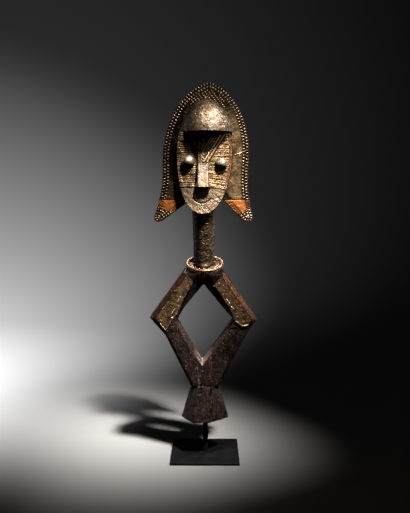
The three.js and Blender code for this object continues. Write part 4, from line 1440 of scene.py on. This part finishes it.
    def chin(self, shop: Workshop) -> None:
        """Builds the lower face with its mouth and its cut lines.

        Args:
            shop: finishes the piece.
        """
        relief = Relief(lumps=0.6, lump_size=5.5, crease=0.25, crease_size=4.0, seed=41.0,
                        soot_and_shade=self.nose_shade, fresh=0.45)
        mouth_x, mouth_z, mouth_half, drop = -4.5, 325.5, 13.0, 6.5
        steps = [number / 16 for number in range(17)]
        corner_x, width = mouth_x - mouth_half, 2.0 * mouth_half
        lip = [(corner_x + width * t, mouth_z - 4.0 * drop * t * (1.0 - t)) for t in steps]
        relief.line(lip, 0.85, -0.9)
        relief.line([(x, z - 2.1) for x, z in lip[2:-2]], 0.6, 0.35)
        for number in range(2, 15, 2):
            x, z = lip[number]
            relief.line([(x, z + 0.6), (x, z + 3.0)], 0.4, -0.45)
        for number in range(5):
            x = -12.5 + 3.6 * number
            relief.line([(x, 316.5 - 0.5 * number), (x + 6.5, 309.0 - 0.4 * number)], 0.4, -0.45)
        for number in range(4):
            x, z = 7.5 + 1.8 * number, 323.5 + 2.9 * number
            relief.line([(x, z), (x + 9.0, z - 8.0)], 0.5, -0.45 if number % 2 else 0.35)
        relief.row([(-19.0, 316.0), (-16.5, 312.5), (-20.5, 320.0), (9.5, 311.0), (12.5, 313.5)], 0.8, -0.5)
        half = self.seam / 2.0
        top = self.border_line(-1, 0, -half)[::-1] + self.border_line(1, 0, -half)
        above = Outline([*top, (60.0, 400.0), (-60.0, 400.0)])
        region = Outline([(-60.0, 290.0), (60.0, 290.0), (60.0, 346.0), (-60.0, 346.0)])
        sheet = Sheet([region, Outline(self.oval(self.inset))], self.front, relief, [above], 0.5)
        shop.finish("chin", sheet.build(), Slot.PALE, ["chin_sheet"])

    def dress(self, shop: Workshop) -> None:
        """Builds every piece of the face.

        Args:
            shop: finishes the pieces.
        """
        self.forehead(shop)
        self.brow(shop)
        self.nose(shop)
        self.eyes(shop)
        self.cheeks(shop)
        self.chin(shop)


@dataclass
class Neck:
    """The neck, wrapped in a sheet whose edge shows at the front, with staples across it."""

    x: float = -1.6
    low_radius: float = 14.0
    high_radius: float = 15.7
    bottom_z: float = 228.5
    top_z: float = 324.0
    seam_degrees: float = -76.0
    overlap_degrees: float = 14.0
    cracks: tuple[tuple[Point, ...], ...] = (
        ((-6.0, 266.4), (-1.0, 265.8), (7.0, 268.0), (13.0, 269.5)),
        ((-3.4, 263.6), (1.5, 259.0), (4.6, 256.3), (5.5, 251.0)),
        ((-11.0, 251.0), (-6.5, 248.6), (-1.0, 249.4), (3.5, 245.0)),
        ((1.0, 243.0), (6.0, 245.4), (11.5, 244.0)),
        ((-8.0, 281.0), (-2.0, 278.6), (6.5, 283.0)),
        ((-10.0, 240.0), (-4.0, 237.0), (0.5, 240.5)),
    )

    def radius(self, z: np.ndarray) -> np.ndarray:
        """Gives the radius of the wood at each height."""
        return self.low_radius + (self.high_radius - self.low_radius) * smoothstep(z, 250.0, 314.0)

    def on_surface(self, degrees: float, z: float, out: float) -> Vector:
        """Gives a point on the wrap.

        Args:
            degrees: its angle, where -90 is the front.
            z: its height.
            out: how far it stands off the wood.

        Returns:
            The point.
        """
        reach = float(self.radius(np.array([z]))[0]) + out
        angle = math.radians(degrees)
        return Vector((self.x + reach * math.cos(angle), reach * math.sin(angle), z))

    def wrap(self, shop: Workshop) -> None:
        """Rolls a flat sheet round the neck and lets its foot spread as petals.

        Args:
            shop: finishes the piece.
        """
        bm = bmesh.new()
        bmesh.ops.create_grid(bm, x_segments=200, y_segments=150, size=1.0)
        points = coordinates(bm)
        across, up = (points[:, 0] + 1.0) / 2.0, (points[:, 1] + 1.0) / 2.0
        turn = np.radians(self.seam_degrees + across * (360.0 + self.overlap_degrees))
        petals = 0.5 + 0.3 * np.sin(turn * 3.0 + 0.6) + 0.2 * np.sin(turn * 7.0 + 2.0)
        bottom = self.bottom_z + 1.0 + 4.2 * np.sin(turn) - 1.5 * petals
        z = bottom + up * (self.top_z - bottom)
        lap = smoothstep(across, 0.93, 1.0) * 1.0
        spread = 2.2 * np.clip((self.bottom_z + 5.0 - z) / 5.0, 0.0, 1.0) ** 2 * (0.5 + 0.5 * petals)
        reach = self.radius(z) + SHEET_FRONT - 0.1 + lap + spread
        points = np.column_stack([self.x + reach * np.cos(turn), reach * np.sin(turn), z])
        place(bm, points)
        folds = 0.35 * creases(points, 9.0, 3.0) + 0.25 * creases(points, 4.0, 5.0)
        lower = 1.0 - 0.6 * smoothstep(z, 270.0, 310.0)
        cuts = Relief(lumps=0.0, crease=0.0)
        for line in self.cracks:
            cuts.line(line, 0.7, -0.7)
        cracked = cuts.worked(points[:, 0], z) * (points[:, 1] < 0.0)
        uneven = 0.4 * crumple(points, 6.0, 2.0, 4) + folds * lower
        emboss(bm, uneven + cracked)
        mark(bm, uneven * 0.8 + cracked)
        # Even grime, darker towards the foot, and painted shade on the neck's left side.
        foot = 0.45 * (1.0 - smoothstep(z, 232.0, 242.0))
        mark(bm, 0.4 + foot + 0.8 * smoothstep(self.x - points[:, 0], 0.0, 11.0), "soot_and_shade")
        bmesh.ops.recalc_face_normals(bm, faces=bm.faces[:])
        bmesh.ops.solidify(bm, geom=bm.faces[:], thickness=SHEET_THICKNESS * 0.8)
        shop.finish("neck_wrap", bm, Slot.NECK, ["neck_sheet"])


@dataclass
class Collar:
    """The bowl under the neck: a copper rim, fluted brass outside and a crumpled lining inside."""

    x: float = -0.4
    rim_z: float = 230.6
    radius: float = 26.6
    tube: float = 1.7
    tilt: float = 0.305
    depth: float = 28.0
    shape: tuple[Point, ...] = (
        (0.3, -1.0), (0.48, -0.84), (0.66, -0.68), (0.78, -0.52), (0.9, -0.36), (0.97, -0.22), (1.0, -0.11),
    )
    front: tuple[Point, ...] = (
        (-3.0, 204.0), (3.0, 208.0), (24.0, 224.0), (24.0, 240.0),
        (-24.0, 240.0), (-24.0, 224.0), (-8.0, 208.0),
    )
    ribs: float = 24.0

    def tip(self, bm: bmesh.types.BMesh) -> None:
        """Tips a turned form forwards, fully at the rim and not at all at its foot.

        Args:
            bm: the form's mesh.
        """
        for vertex in bm.verts:
            share = min(max(1.0 + vertex.co.z / self.depth, 0.0), 1.0)
            vertex.co.z += self.rim_z + self.tilt * share * vertex.co.y

    def turned(self, profile: Sequence[Point], steps: int) -> bmesh.types.BMesh:
        """Spins a profile into a closed ring of faces.

        Args:
            profile: its points as (radius, z), from the foot to the rim.
            steps: the number of steps round.

        Returns:
            The mesh, not yet tipped.
        """
        bm = bmesh.new()
        corners = [bm.verts.new((self.x + r, 0.0, z)) for r, z in profile]
        edges = [bm.edges.new(pair) for pair in zip(corners, corners[1:])]
        axis = (self.x, 0.0, 0.0)
        bmesh.ops.spin(bm, geom=corners + edges, cent=axis, axis=(0.0, 0.0, 1.0), angle=2.0 * math.pi,
                       steps=steps, use_merge=True)
        bmesh.ops.remove_doubles(bm, verts=bm.verts[:], dist=0.001)
        bmesh.ops.recalc_face_normals(bm, faces=bm.faces[:])
        return bm

    def rim(self, shop: Workshop) -> None:
        """Builds the copper ring on the bowl's edge.

        Args:
            shop: finishes the piece.
        """
        middle = self.radius - self.tube * 0.4
        around = [2.0 * math.pi * number / 20 for number in range(21)]
        profile = [(middle + self.tube * math.cos(a), self.tube * math.sin(a)) for a in around]
        bm = self.turned(profile, 220)
        self.tip(bm)
        points = coordinates(bm)
        uneven = 0.28 * crumple(points, 9.0, 5.0) + 0.12 * creases(points, 5.0, 1.0)
        emboss(bm, uneven)
        mark(bm, uneven + 0.1)
        shop.finish("collar_ring", bm, Slot.COPPER, ["collar_rim"])

    def bowl_profile(self, grow: float) -> list[Point]:
        """Draws the outside of the bowl.

        Args:
            grow: how far the profile stands off the wood.

        Returns:
            The profile's points, from the foot to the rim.
        """
        reach = self.radius - self.tube
        points = [(share * reach + grow, depth * self.depth - grow * 0.6) for share, depth in self.shape]
        return [*finer(points, 6), (reach + grow, -1.0)]

    def flutes(self, shop: Workshop) -> None:
        """Builds the fluted brass under the front of the rim.

        Args:
            shop: finishes the piece.
        """
        bm = self.turned(self.bowl_profile(SHEET_FRONT), 420)
        points = coordinates(bm)
        angle = np.arctan2(points[:, 1], points[:, 0] - self.x)
        ribs = np.abs(np.cos(angle * self.ribs)) ** 0.7
        self.tip(bm)
        uneven = 0.35 * crumple(coordinates(bm), 4.0, 9.0)
        emboss(bm, ribs * 0.6 + uneven)
        mark(bm, ribs * 0.5 - 0.1 + uneven)
        for (x, z), (next_x, next_z) in zip(self.front, [*self.front[1:], self.front[0]]):
            cut_off(bm, (x, 0.0, z), (next_z - z, 0.0, x - next_x))
        cut_off(bm, (0.0, -3.0, 0.0), (0.0, 1.0, 0.0))
        bmesh.ops.solidify(bm, geom=bm.faces[:], thickness=SHEET_THICKNESS)
        shop.finish("collar_flutes", bm, Slot.NECK, ["collar_sheet"])

    def lining(self, shop: Workshop) -> None:
        """Builds the crumpled sheet inside the bowl.

        Args:
            shop: finishes the piece.
        """
        reach = self.radius - self.tube
        beside_neck, beside_rim = [(15.4, -0.4), (17.5, -1.6)], [(reach - 2.6, -1.0), (reach - 1.9, 0.4)]
        bm = self.turned(finer([*beside_neck, (0.86 * reach - 1.0, -1.8), *beside_rim], 8), 260)
        self.tip(bm)
        upward = sum(face.normal.z for face in bm.faces)
        if upward < 0.0:
            bmesh.ops.reverse_faces(bm, faces=bm.faces[:])
        points = coordinates(bm)
        folds = 0.9 * creases(points, 6.0, 8.0) + 0.7 * crumple(points, 5.0, 7.0)
        emboss(bm, folds)
        mark(bm, folds * 0.6 + 0.02)
        mark(bm, np.full(len(points), 0.25), "soot_and_shade")
        bmesh.ops.solidify(bm, geom=bm.faces[:], thickness=SHEET_THICKNESS)
        shop.finish("collar_inside", bm, Slot.NECK, ["collar_lining"])

    def dress(self, shop: Workshop) -> None:
        """Builds the three pieces of the collar.

        Args:
            shop: finishes the pieces.
        """
        self.rim(shop)
        self.flutes(shop)
        self.lining(shop)


@dataclass
class Arms:
    """The open lozenge: two dressed upper arms over two bare lower ones."""

    half_depth: float = 24.0
    chamfer: float = 6.0
    shoulder_z: float = 216.0
    shoulder_slope: float = 1.6
    sheet_top: float = 217.0
    outline: tuple[Point, ...] = (
        (-1.6, 260.8), (-80.2, 152.7), (-58.5, 128.0), (64.2, 134.5), (75.3, 151.0),
    )
    opening: tuple[Point, ...] = (
        (-4.4, 227.6), (-32.0, 178.2), (-43.0, 148.0), (-4.1, 83.1), (43.0, 149.0), (36.5, 167.2),
    )
    hems: dict[str, tuple[Point, ...]] = field(default_factory=lambda: {
        "left": ((-72.0, 147.6), (-64.2, 144.9), (-57.1, 136.4), (-48.9, 149.8), (-39.5, 163.5)),
        "right": ((44.2, 149.2), (54.7, 142.2), (64.8, 144.4), (70.5, 148.5)),
    })

    def flat(self, x: np.ndarray, z: np.ndarray) -> np.ndarray:
        """Gives the y of the arms' flat front and of the shoulders that slope back from it."""
        return np.maximum(z - self.shoulder_z, 0.0) / self.shoulder_slope - self.half_depth

    def bevel(self, side: int) -> Field:
        """Gives the y of the bevel outside an upper arm.

        Args:
            side: -1 on the left, 1 on the right.

        Returns:
            The y as a function of x and z.
        """
        first, second = (0, 1) if side < 0 else (4, 0)
        (ax, az), (bx, bz) = self.outline[first], self.outline[second]
        length = math.hypot(bx - ax, bz - az)
        normal_x, normal_z = (bz - az) / length, (ax - bx) / length

        def surface(x: np.ndarray, z: np.ndarray) -> np.ndarray:
            """Falls away from the front at forty-five degrees.

            Args:
                x: the points' x.
                z: the points' z.

            Returns:
                The y of each point.
            """
            inward = -((x - ax) * normal_x + (z - az) * normal_z)
            fallen = np.clip(self.chamfer - inward, 0.0, self.chamfer)
            return np.maximum(fallen - self.half_depth, self.flat(x, z))

        return surface

    def plate_grime_and_collar_shade(self, _x: np.ndarray, z: np.ndarray) -> np.ndarray:
        """Gives even grime on the arm plates, and painted shade under the collar."""
        return 0.2 + 0.5 * smoothstep(z, 204.0, 216.0)

    def plates(self, shop: Workshop) -> None:
        """Builds the brass plates on the front of the upper arms.

        Args:
            shop: finishes the pieces.
        """
        top = self.sheet_top
        regions = {
            "left": [(-12.5, 201.0), (-26.0, top), (-100.0, top), (-100.0, 152.0),
                     (-64.2, 143.4), (-57.1, 134.6), (-47.7, 148.8), (-38.0, 162.0)],
            "right": [(12.5, 201.0), (38.0, 156.0), (42.7, 147.9), (54.7, 140.6),
                      (64.8, 142.8), (100.0, 158.0), (100.0, top), (26.0, top)],
        }
        for name, region in regions.items():
            relief = Relief(lumps=0.6, lump_size=5.0, crease=0.3, crease_size=3.6, seed=51.0 + len(name),
                            soot_and_shade=self.plate_grime_and_collar_shade)
            relief.line(self.hems[name], 0.9, 0.6)
            inside = [Outline(offset(self.outline, -self.chamfer - 0.5)), Outline(region)]
            sheet = Sheet(inside, self.flat, relief, [Outline(offset(self.opening, 0.5))], 0.55)
            shop.finish(f"arm_plate_{name}", sheet.build(), Slot.ARM, [f"arm_sheet_{name}"])

    def edges(self, shop: Workshop) -> None:
        """Builds the copper strips on the outer bevels.

        Args:
            shop: finishes the pieces.
        """
        for name, side in (("left", -1), ("right", 1)):
            relief = Relief(lumps=0.35, lump_size=6.0, crease=0.25, crease_size=5.0, seed=61.0 + side,
                            soot_and_shade=evenly(0.8))
            low_x, high_x = (-100.0, -26.0) if side < 0 else (26.0, 100.0)
            reach = Outline([(low_x, 153.0), (high_x, 153.0), (high_x, 219.0), (low_x, 219.0)])
            band = [Outline(offset(self.outline, 0.3)), reach]
            inner = [Outline(offset(self.outline, -self.chamfer + 0.4))]
            sheet = Sheet(band, self.bevel(side), relief, inner, 0.5)
            shop.finish(f"arm_strip_{name}", sheet.build(), Slot.COPPER, [f"arm_edge_{name}"])

    def dress(self, shop: Workshop) -> None:
        """Builds the four sheets of the arms."""
        self.plates(shop)
        self.edges(shop)


@dataclass
class Fasteners:
    """The nails and staples that hold the sheets."""

    head: float = 0.95
    head_rise: float = 0.6
    wire: float = 0.5
    arm_staple: float = 5.5
    neck_staple: float = 5.0
    neck_stand_off: float = 1.3
    arm_y: float = -25.6
    staples: tuple[tuple[float, float, float], ...] = (
        (-36.1, 183.2, 60.0), (-38.5, 178.6, 80.0), (-45.4, 164.6, 50.0), (-47.4, 159.8, 75.0),
        (-48.6, 154.1, 20.0), (32.8, 179.2, -55.0), (35.6, 174.4, -70.0), (40.0, 168.7, -40.0),
        (46.0, 156.0, 10.0),
    )
    nails: tuple[Point, ...] = (
        (-61.3, 167.0), (-43.6, 193.6), (-24.7, 199.9), (-64.0, 150.2), (-56.6, 143.0),
        (-41.8, 171.8), (13.2, 199.9), (26.3, 187.4), (37.7, 196.7), (53.2, 173.0),
        (57.2, 148.4), (44.8, 160.2), (64.8, 150.6), (30.1, 203.0),
    )
    neck_staples: tuple[tuple[float, float], ...] = (
        (-76.0, 304.0), (-75.0, 289.5), (-77.0, 275.0), (-75.5, 259.5), (-76.5, 244.0),
    )

    def nail(self, bm: bmesh.types.BMesh, at: Vector, out: Vector) -> None:
        """Adds a low domed head.

        Args:
            bm: the mesh that takes it.
            at: where it sits.
            out: the direction that it faces.
        """
        turn = out.to_track_quat("Z", "Y").to_matrix().to_4x4()
        size = Matrix.Diagonal((self.head, self.head, self.head * self.head_rise, 1.0))
        matrix = Matrix.Translation(at) @ turn @ size
        bmesh.ops.create_uvsphere(bm, u_segments=10, v_segments=6, radius=1.0, matrix=matrix)

    def staple(self, bm: bmesh.types.BMesh, at: Vector, along: Vector, length: float) -> None:
        """Adds a staple's bridge of round wire.

        Args:
            bm: the mesh that takes it.
            at: its middle.
            along: its direction.
            length: its length.
        """
        turn = along.to_track_quat("Z", "Y").to_matrix().to_4x4()
        wire = bmesh.ops.create_cone(bm, cap_ends=True, segments=8, radius1=self.wire, radius2=self.wire,
                                     depth=length, matrix=Matrix.Translation(at) @ turn)
        edges = dict.fromkeys(edge for vertex in wire["verts"] for edge in vertex.link_edges)
        rims = [edge for edge in edges if sum(len(face.verts) > 4 for face in edge.link_faces) == 1]
        bmesh.ops.bevel(bm, geom=rims, offset=self.wire * 0.5, offset_type="OFFSET", segments=1,
                        profile=0.5, affect="EDGES", material=-1)

    def dress(self, shop: Workshop, neck: Neck) -> None:
        """Builds the fasteners of the arms and of the neck.

        Args:
            shop: finishes the pieces.
            neck: the neck that the staples cross.
        """
        bm = bmesh.new()
        for x, z, angle in self.staples:
            along = Vector((math.cos(math.radians(angle)), 0.0, math.sin(math.radians(angle))))
            self.staple(bm, Vector((x, self.arm_y, z)), along, self.arm_staple)
        bright = [0.65] * len(bm.verts)
        for x, z in self.nails:
            self.nail(bm, Vector((x, self.arm_y, z)), Vector((0.0, -1.0, 0.0)))
        mark(bm, np.array(bright + [0.25] * (len(bm.verts) - len(bright))))
        shop.finish("arm_fasteners", bm, Slot.ARM)
        bm = bmesh.new()
        for degrees, z in self.neck_staples:
            at = neck.on_surface(degrees, z, SHEET_FRONT + self.neck_stand_off)
            across = neck.on_surface(degrees + 20.0, z, 0.0) - neck.on_surface(degrees - 20.0, z, 0.0)
            self.staple(bm, at, across.normalized(), self.neck_staple)
        mark(bm, np.full(len(bm.verts), 0.1))
        shop.finish("neck_staples", bm, Slot.NECK)


@dataclass
class Carving:
    """The wood of the figure, worked over from the plain solid."""

    voxel: float = 1.32
    tool_marks: float = 0.35
    crust: float = 0.35
    streaks: float = 0.45
    proud: float = 0.25
    wear: float = 1.6
    ridge_half_width: float = 2.0
    ridge_height: float = 0.4
    ridges: tuple[tuple[Point, ...], ...] = (
        ((-11.4, 80.0), (-9.4, 72.0), (-9.8, 65.0), (-8.0, 53.5)),
        ((-14.0, 52.0), (-9.0, 51.4), (-3.0, 52.0)),
    )

    def build(self, shop: Workshop) -> None:
        """Remeshes the solid finely and roughens it as old carved wood.

        Args:
            shop: finishes the piece.
        """
        bm = bmesh.new()
        bm.from_mesh(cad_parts["wood_figure"].data)
        bmesh.ops.remove_doubles(bm, verts=bm.verts[:], dist=1e-6)
        blank = bpy.data.meshes.new("wood_blank")
        bm.to_mesh(blank)
        bm.free()
        carrier = bpy.data.objects.new("wood_blank", blank)
        bpy.context.scene.collection.objects.link(carrier)
        remesh = carrier.modifiers.new("fine", "REMESH")
        remesh.mode = "VOXEL"
        remesh.voxel_size = self.voxel * MM
        graph = bpy.context.evaluated_depsgraph_get()
        fine = bpy.data.meshes.new_from_object(carrier.evaluated_get(graph))
        bm = bmesh.new()
        bm.from_mesh(fine)
        bpy.data.objects.remove(carrier)
        lower = Matrix.Translation((0.0, 0.0, -STAND_HEIGHT)) @ Matrix.Scale(1.0 / MM, 4)
        bmesh.ops.transform(bm, matrix=lower, verts=bm.verts)
        bmesh.ops.smooth_vert(bm, verts=bm.verts[:], factor=0.5,
                              use_axis_x=True, use_axis_y=True, use_axis_z=True)
        points = coordinates(bm)
        along = points * np.array([1.0, 1.0, 0.35])
        marks = crumple(along, 7.0, 13.0, 2)
        crust = crumple(points, 2.6, 17.0, 3)
        streaks = crumple(points * np.array([1.0, 1.0, 0.16]), 2.4, 23.0, 2)
        heights = self.tool_marks * marks + self.crust * crust
        heights += self.streaks * streaks * (1.0 - smoothstep(points[:, 2], 48.0, 56.0))
        ridges = Relief(lumps=0.0, crease=0.0)
        for line in self.ridges:
            ridges.line(line, self.ridge_half_width, self.ridge_height)
        raised = ridges.worked(points[:, 0], points[:, 2]) * (points[:, 1] < 0.0)
        heights = np.minimum(heights, self.proud) + raised
        emboss(bm, heights, self.wear)
        bm.normal_update()
        points = coordinates(bm)
        x, z = points[:, 0], points[:, 2]
        facing_up = smoothstep(np.array([v.normal.z for v in bm.verts]), 0.25, 0.6)
        inner = (np.abs(x) < 44.0) & (z > 78.0) & (z < 150.0)
        mark(bm, inner * facing_up * (0.12 + 0.78 * (1.0 - smoothstep(z, 86.0, 108.0))), "dust")
        # Painted shadow: the wood under the collar is marked as deep hollow, which the finish paints
        # darkest.
        painted_collar_shadow = smoothstep(z, 196.0, 206.0) * (z < 234.0) * (points[:, 1] < 6.0)
        # Painted shade: the front of the right lower arm is marked lower, so it darkens.
        painted_side_shade = 0.45 * smoothstep(x, 8.0, 34.0) * (z < 150.0) * (points[:, 1] < -10.0) * (z > 50.0)
        mark(bm, heights * self.wear * (1.0 - painted_collar_shadow) - painted_collar_shadow - painted_side_shade)
        shop.finish("carved_wood", bm, Slot.WOOD, ["wood_figure"], 70.0)


@dataclass
class Stand:
    """The square steel plate and the rod that the foot sits on."""

    side: float = 100.0
    thickness: float = 4.0
    seat: float = 2.0
    seat_gap: float = 0.3
    plate_bevel: float = 0.45
    rod_bevel: float = 0.35
    rod_side: float = 7.5
    rod_x: float = 0.6
    rod_top: float = 84.0

    def block(self, low: Sequence[float], high: Sequence[float], bevel: float) -> bmesh.types.BMesh:
        """Makes a block with broken edges.

        Args:
            low: its lowest corner.
            high: its highest corner.
            bevel: the width of its edges.

        Returns:
            The mesh.
        """
        bm = bmesh.new()
        size = [b - a for a, b in zip(low, high)]
        middle = [(a + b) / 2.0 for a, b in zip(low, high)]
        matrix = Matrix.Translation(middle) @ Matrix.Diagonal((*size, 1.0))
        bmesh.ops.create_cube(bm, size=1.0, matrix=matrix)
        bmesh.ops.bevel(bm, geom=bm.edges[:], offset=bevel, offset_type="OFFSET", segments=3, profile=0.5,
                        affect="EDGES", material=-1)
        return bm

    def build(self, shop: Workshop) -> None:
        """Builds the plate and the rod.

        Args:
            shop: finishes the pieces.
        """
        half, rod = self.side / 2.0, self.rod_side / 2.0
        plate = self.block((-half, -half, 0.0), (half, half, self.thickness), self.plate_bevel)
        shop.finish("plate", plate, Slot.STEEL, ["stand_plate"], 30.0, 0.0)
        low = (self.rod_x - rod, -rod, self.seat + self.seat_gap)
        high = (self.rod_x + rod, rod, self.rod_top)
        shop.finish("rod", self.block(low, high, self.rod_bevel), Slot.STEEL, ["stand_rod"], 30.0, 0.0)


@dataclass(frozen=True)
class Lamp:
    """A square soft box, measured in metres, watts and degrees."""

    name: str
    at: Place
    target: Place
    side: float
    power: float
    spread: float
    tint: Colour = (1.0, 1.0, 1.0)
    falls_on: Lit = Lit.ALL

    def build(self) -> bpy.types.Object:
        """Adds the light to the scene.

        Returns:
            The light.
        """
        data = bpy.data.lights.new(self.name, "AREA")
        data.shape = "SQUARE"
        data.size = self.side
        data.energy = self.power
        data.spread = math.radians(self.spread)
        data.color = self.tint
        light = bpy.data.objects.new(self.name, data)
        light.location = self.at
        light.visible_camera = False
        aim = Vector(self.target) - Vector(self.at)
        light.rotation_euler = aim.to_track_quat("-Z", "Y").to_euler()
        bpy.context.scene.collection.objects.link(light)
        return light


ABOVE: Place = (0.52, -0.9, 1.95)
LOW_LEFT: Place = (-0.67, -0.54, 0.8)
WAIST: Place = (0.0, 0.0, 0.3)
WARM: Colour = (1.0, 0.96, 0.91)
LAMPS = (
    Lamp("key", ABOVE, (-0.12, 0.085, 0.0), side=0.25, power=0.62, spread=9.3, tint=WARM),
    Lamp("wash", LOW_LEFT, (-1.13, 0.6, 0.0), side=0.4, power=36.0, spread=84.0),
    Lamp("glow", LOW_LEFT, (-1.7, 3.0, 0.2), side=0.5, power=3.8, spread=100.0, falls_on=Lit.GROUND),
    Lamp("front", ABOVE, (0.0, 0.0, 0.33), side=0.2, power=0.215, spread=8.5, tint=WARM,
         falls_on=Lit.FIGURE),
    Lamp("side", (1.35, -0.78, 1.15), (0.0, 0.0, 0.42), side=0.4, power=0.09, spread=14.0,
         tint=(1.0, 0.95, 0.88), falls_on=Lit.FIGURE),
    Lamp("rear", (0.0, 1.5, 1.5), WAIST, side=0.4, power=0.75, spread=24.0, falls_on=Lit.FIGURE),
    Lamp("left", (-1.7, 0.9, 0.4), WAIST, side=0.6, power=0.12, spread=20.0, falls_on=Lit.FIGURE),
    Lamp("right", (1.7, 0.9, 0.4), WAIST, side=0.6, power=0.2, spread=20.0, falls_on=Lit.FIGURE),
    Lamp("top", (0.15, -0.3, 1.2), (0.0, 0.0, 0.0), side=0.12, power=0.1, spread=16.0, tint=WARM,
         falls_on=Lit.STAND),
)


@dataclass
class Studio:
    """The pale floor with its backdrop, the soft lights and the camera, in metres."""

    floor_width: float = 12.0
    near_y: float = -4.0
    sweep_y: float = 1.0
    sweep_radius: float = 2.6
    wall_height: float = 4.0
    floor_colour: Colour = (0.4, 0.4, 0.4)
    floor_roughness: float = 0.7
    surround_colour: Colour = (0.8, 0.79, 0.78)
    surround_strength: float = 0.006
    lens: float = 48.42
    camera_at: Place = (0.0056, -1.008, 0.387)
    camera_down: float = 5.12
    camera_turn: float = 0.32
    stand_pieces: tuple[str, ...] = ("plate", "rod")

    def floor_mesh(self) -> bpy.types.Mesh:
        """Models the floor, which curves up into the backdrop.

        Returns:
            The mesh.
        """
        bm = bmesh.new()
        size = Matrix.Diagonal((self.floor_width, self.sweep_y - self.near_y, 1.0, 1.0))
        middle = Matrix.Translation((0.0, (self.sweep_y + self.near_y) / 2.0, 0.0))
        bmesh.ops.create_grid(bm, x_segments=2, y_segments=2, size=0.5, matrix=middle @ size)
        far = [edge for edge in bm.edges if all(v.co.y > self.sweep_y - 0.01 for v in edge.verts)]
        corners = list(dict.fromkeys(v for edge in far for v in edge.verts))
        sweep = bmesh.ops.spin(bm, geom=far + corners, cent=(0.0, self.sweep_y, self.sweep_radius),
                               axis=(1.0, 0.0, 0.0), angle=math.pi / 2.0, steps=40)
        top = [part for part in sweep["geom_last"] if isinstance(part, bmesh.types.BMEdge)]
        wall = bmesh.ops.extrude_edge_only(bm, edges=top)
        raised = [part for part in wall["geom"] if isinstance(part, bmesh.types.BMVert)]
        bmesh.ops.translate(bm, vec=(0.0, 0.0, self.wall_height), verts=raised)
        mesh = bpy.data.meshes.new("floor")
        bm.to_mesh(mesh)
        bm.free()
        mesh.polygons.foreach_set("use_smooth", [True] * len(mesh.polygons))
        return mesh

    def floor(self) -> bpy.types.Object:
        """Builds the floor and its matt grey finish.

        Returns:
            The floor.
        """
        mesh = self.floor_mesh()
        material = bpy.data.materials.new("floor")
        material.use_nodes = True
        shader = material.node_tree.nodes["Principled BSDF"]
        shader.inputs["Base Color"].default_value = (*self.floor_colour, 1.0)
        shader.inputs["Roughness"].default_value = self.floor_roughness
        mesh.materials.append(material)
        floor = bpy.data.objects.new("floor", mesh)
        floor.visible_glossy = False
        floor.visible_diffuse = False
        bpy.context.scene.collection.objects.link(floor)
        return floor

    def lights(self, floor: bpy.types.Object, pieces: Iterable[bpy.types.Object]) -> None:
        """Adds the lights, each kept to what it falls on.

        Args:
            floor: the floor.
            pieces: the figure's and the stand's pieces.
        """
        lit = {group: bpy.data.collections.new(group.value) for group in Lit if group is not Lit.ALL}
        lit[Lit.GROUND].objects.link(floor)
        for piece in pieces:
            group = Lit.STAND if piece.name in self.stand_pieces else Lit.FIGURE
            lit[group].objects.link(piece)
        for lamp in LAMPS:
            light = lamp.build()
            if lamp.falls_on is not Lit.ALL:
                light.light_linking.receiver_collection = lit[lamp.falls_on]

    def surround(self) -> None:
        """Adds the faint even light from all round."""
        world = bpy.data.worlds.new("surround")
        world.use_nodes = True
        background = world.node_tree.nodes["Background"]
        background.inputs["Color"].default_value = (*self.surround_colour, 1.0)
        background.inputs["Strength"].default_value = self.surround_strength
        bpy.context.scene.world = world

    def camera(self) -> None:
        """Sets the camera in front of the figure, a little above its middle."""
        data = bpy.data.cameras.new("camera")
        data.lens = self.lens
        camera = bpy.data.objects.new("camera", data)
        camera.location = self.camera_at
        camera.rotation_euler = (math.radians(90.0 - self.camera_down), 0.0, math.radians(self.camera_turn))
        bpy.context.scene.collection.objects.link(camera)
        bpy.context.scene.camera = camera

    def build(self, pieces: Iterable[bpy.types.Object]) -> None:
        """Builds the floor, the lights, the soft surround and the camera.

        Args:
            pieces: the figure's and the stand's pieces.
        """
        self.lights(self.floor(), pieces)
        self.surround()
        self.camera()


def main() -> None:
    """Builds the scene in order."""
    random.seed(7)
    bpy.context.scene.view_settings.view_transform = "Standard"
    shop = Workshop()
    Stand().build(shop)
    Carving().build(shop)
    mask = Mask()
    Hood().dress(shop, mask)
    mask.dress(shop)
    neck = Neck()
    neck.wrap(shop)
    Collar().dress(shop)
    Arms().dress(shop)
    Fasteners().dress(shop, neck)
    Studio().build(shop.pieces)


if __name__ == "__main__":
    main()
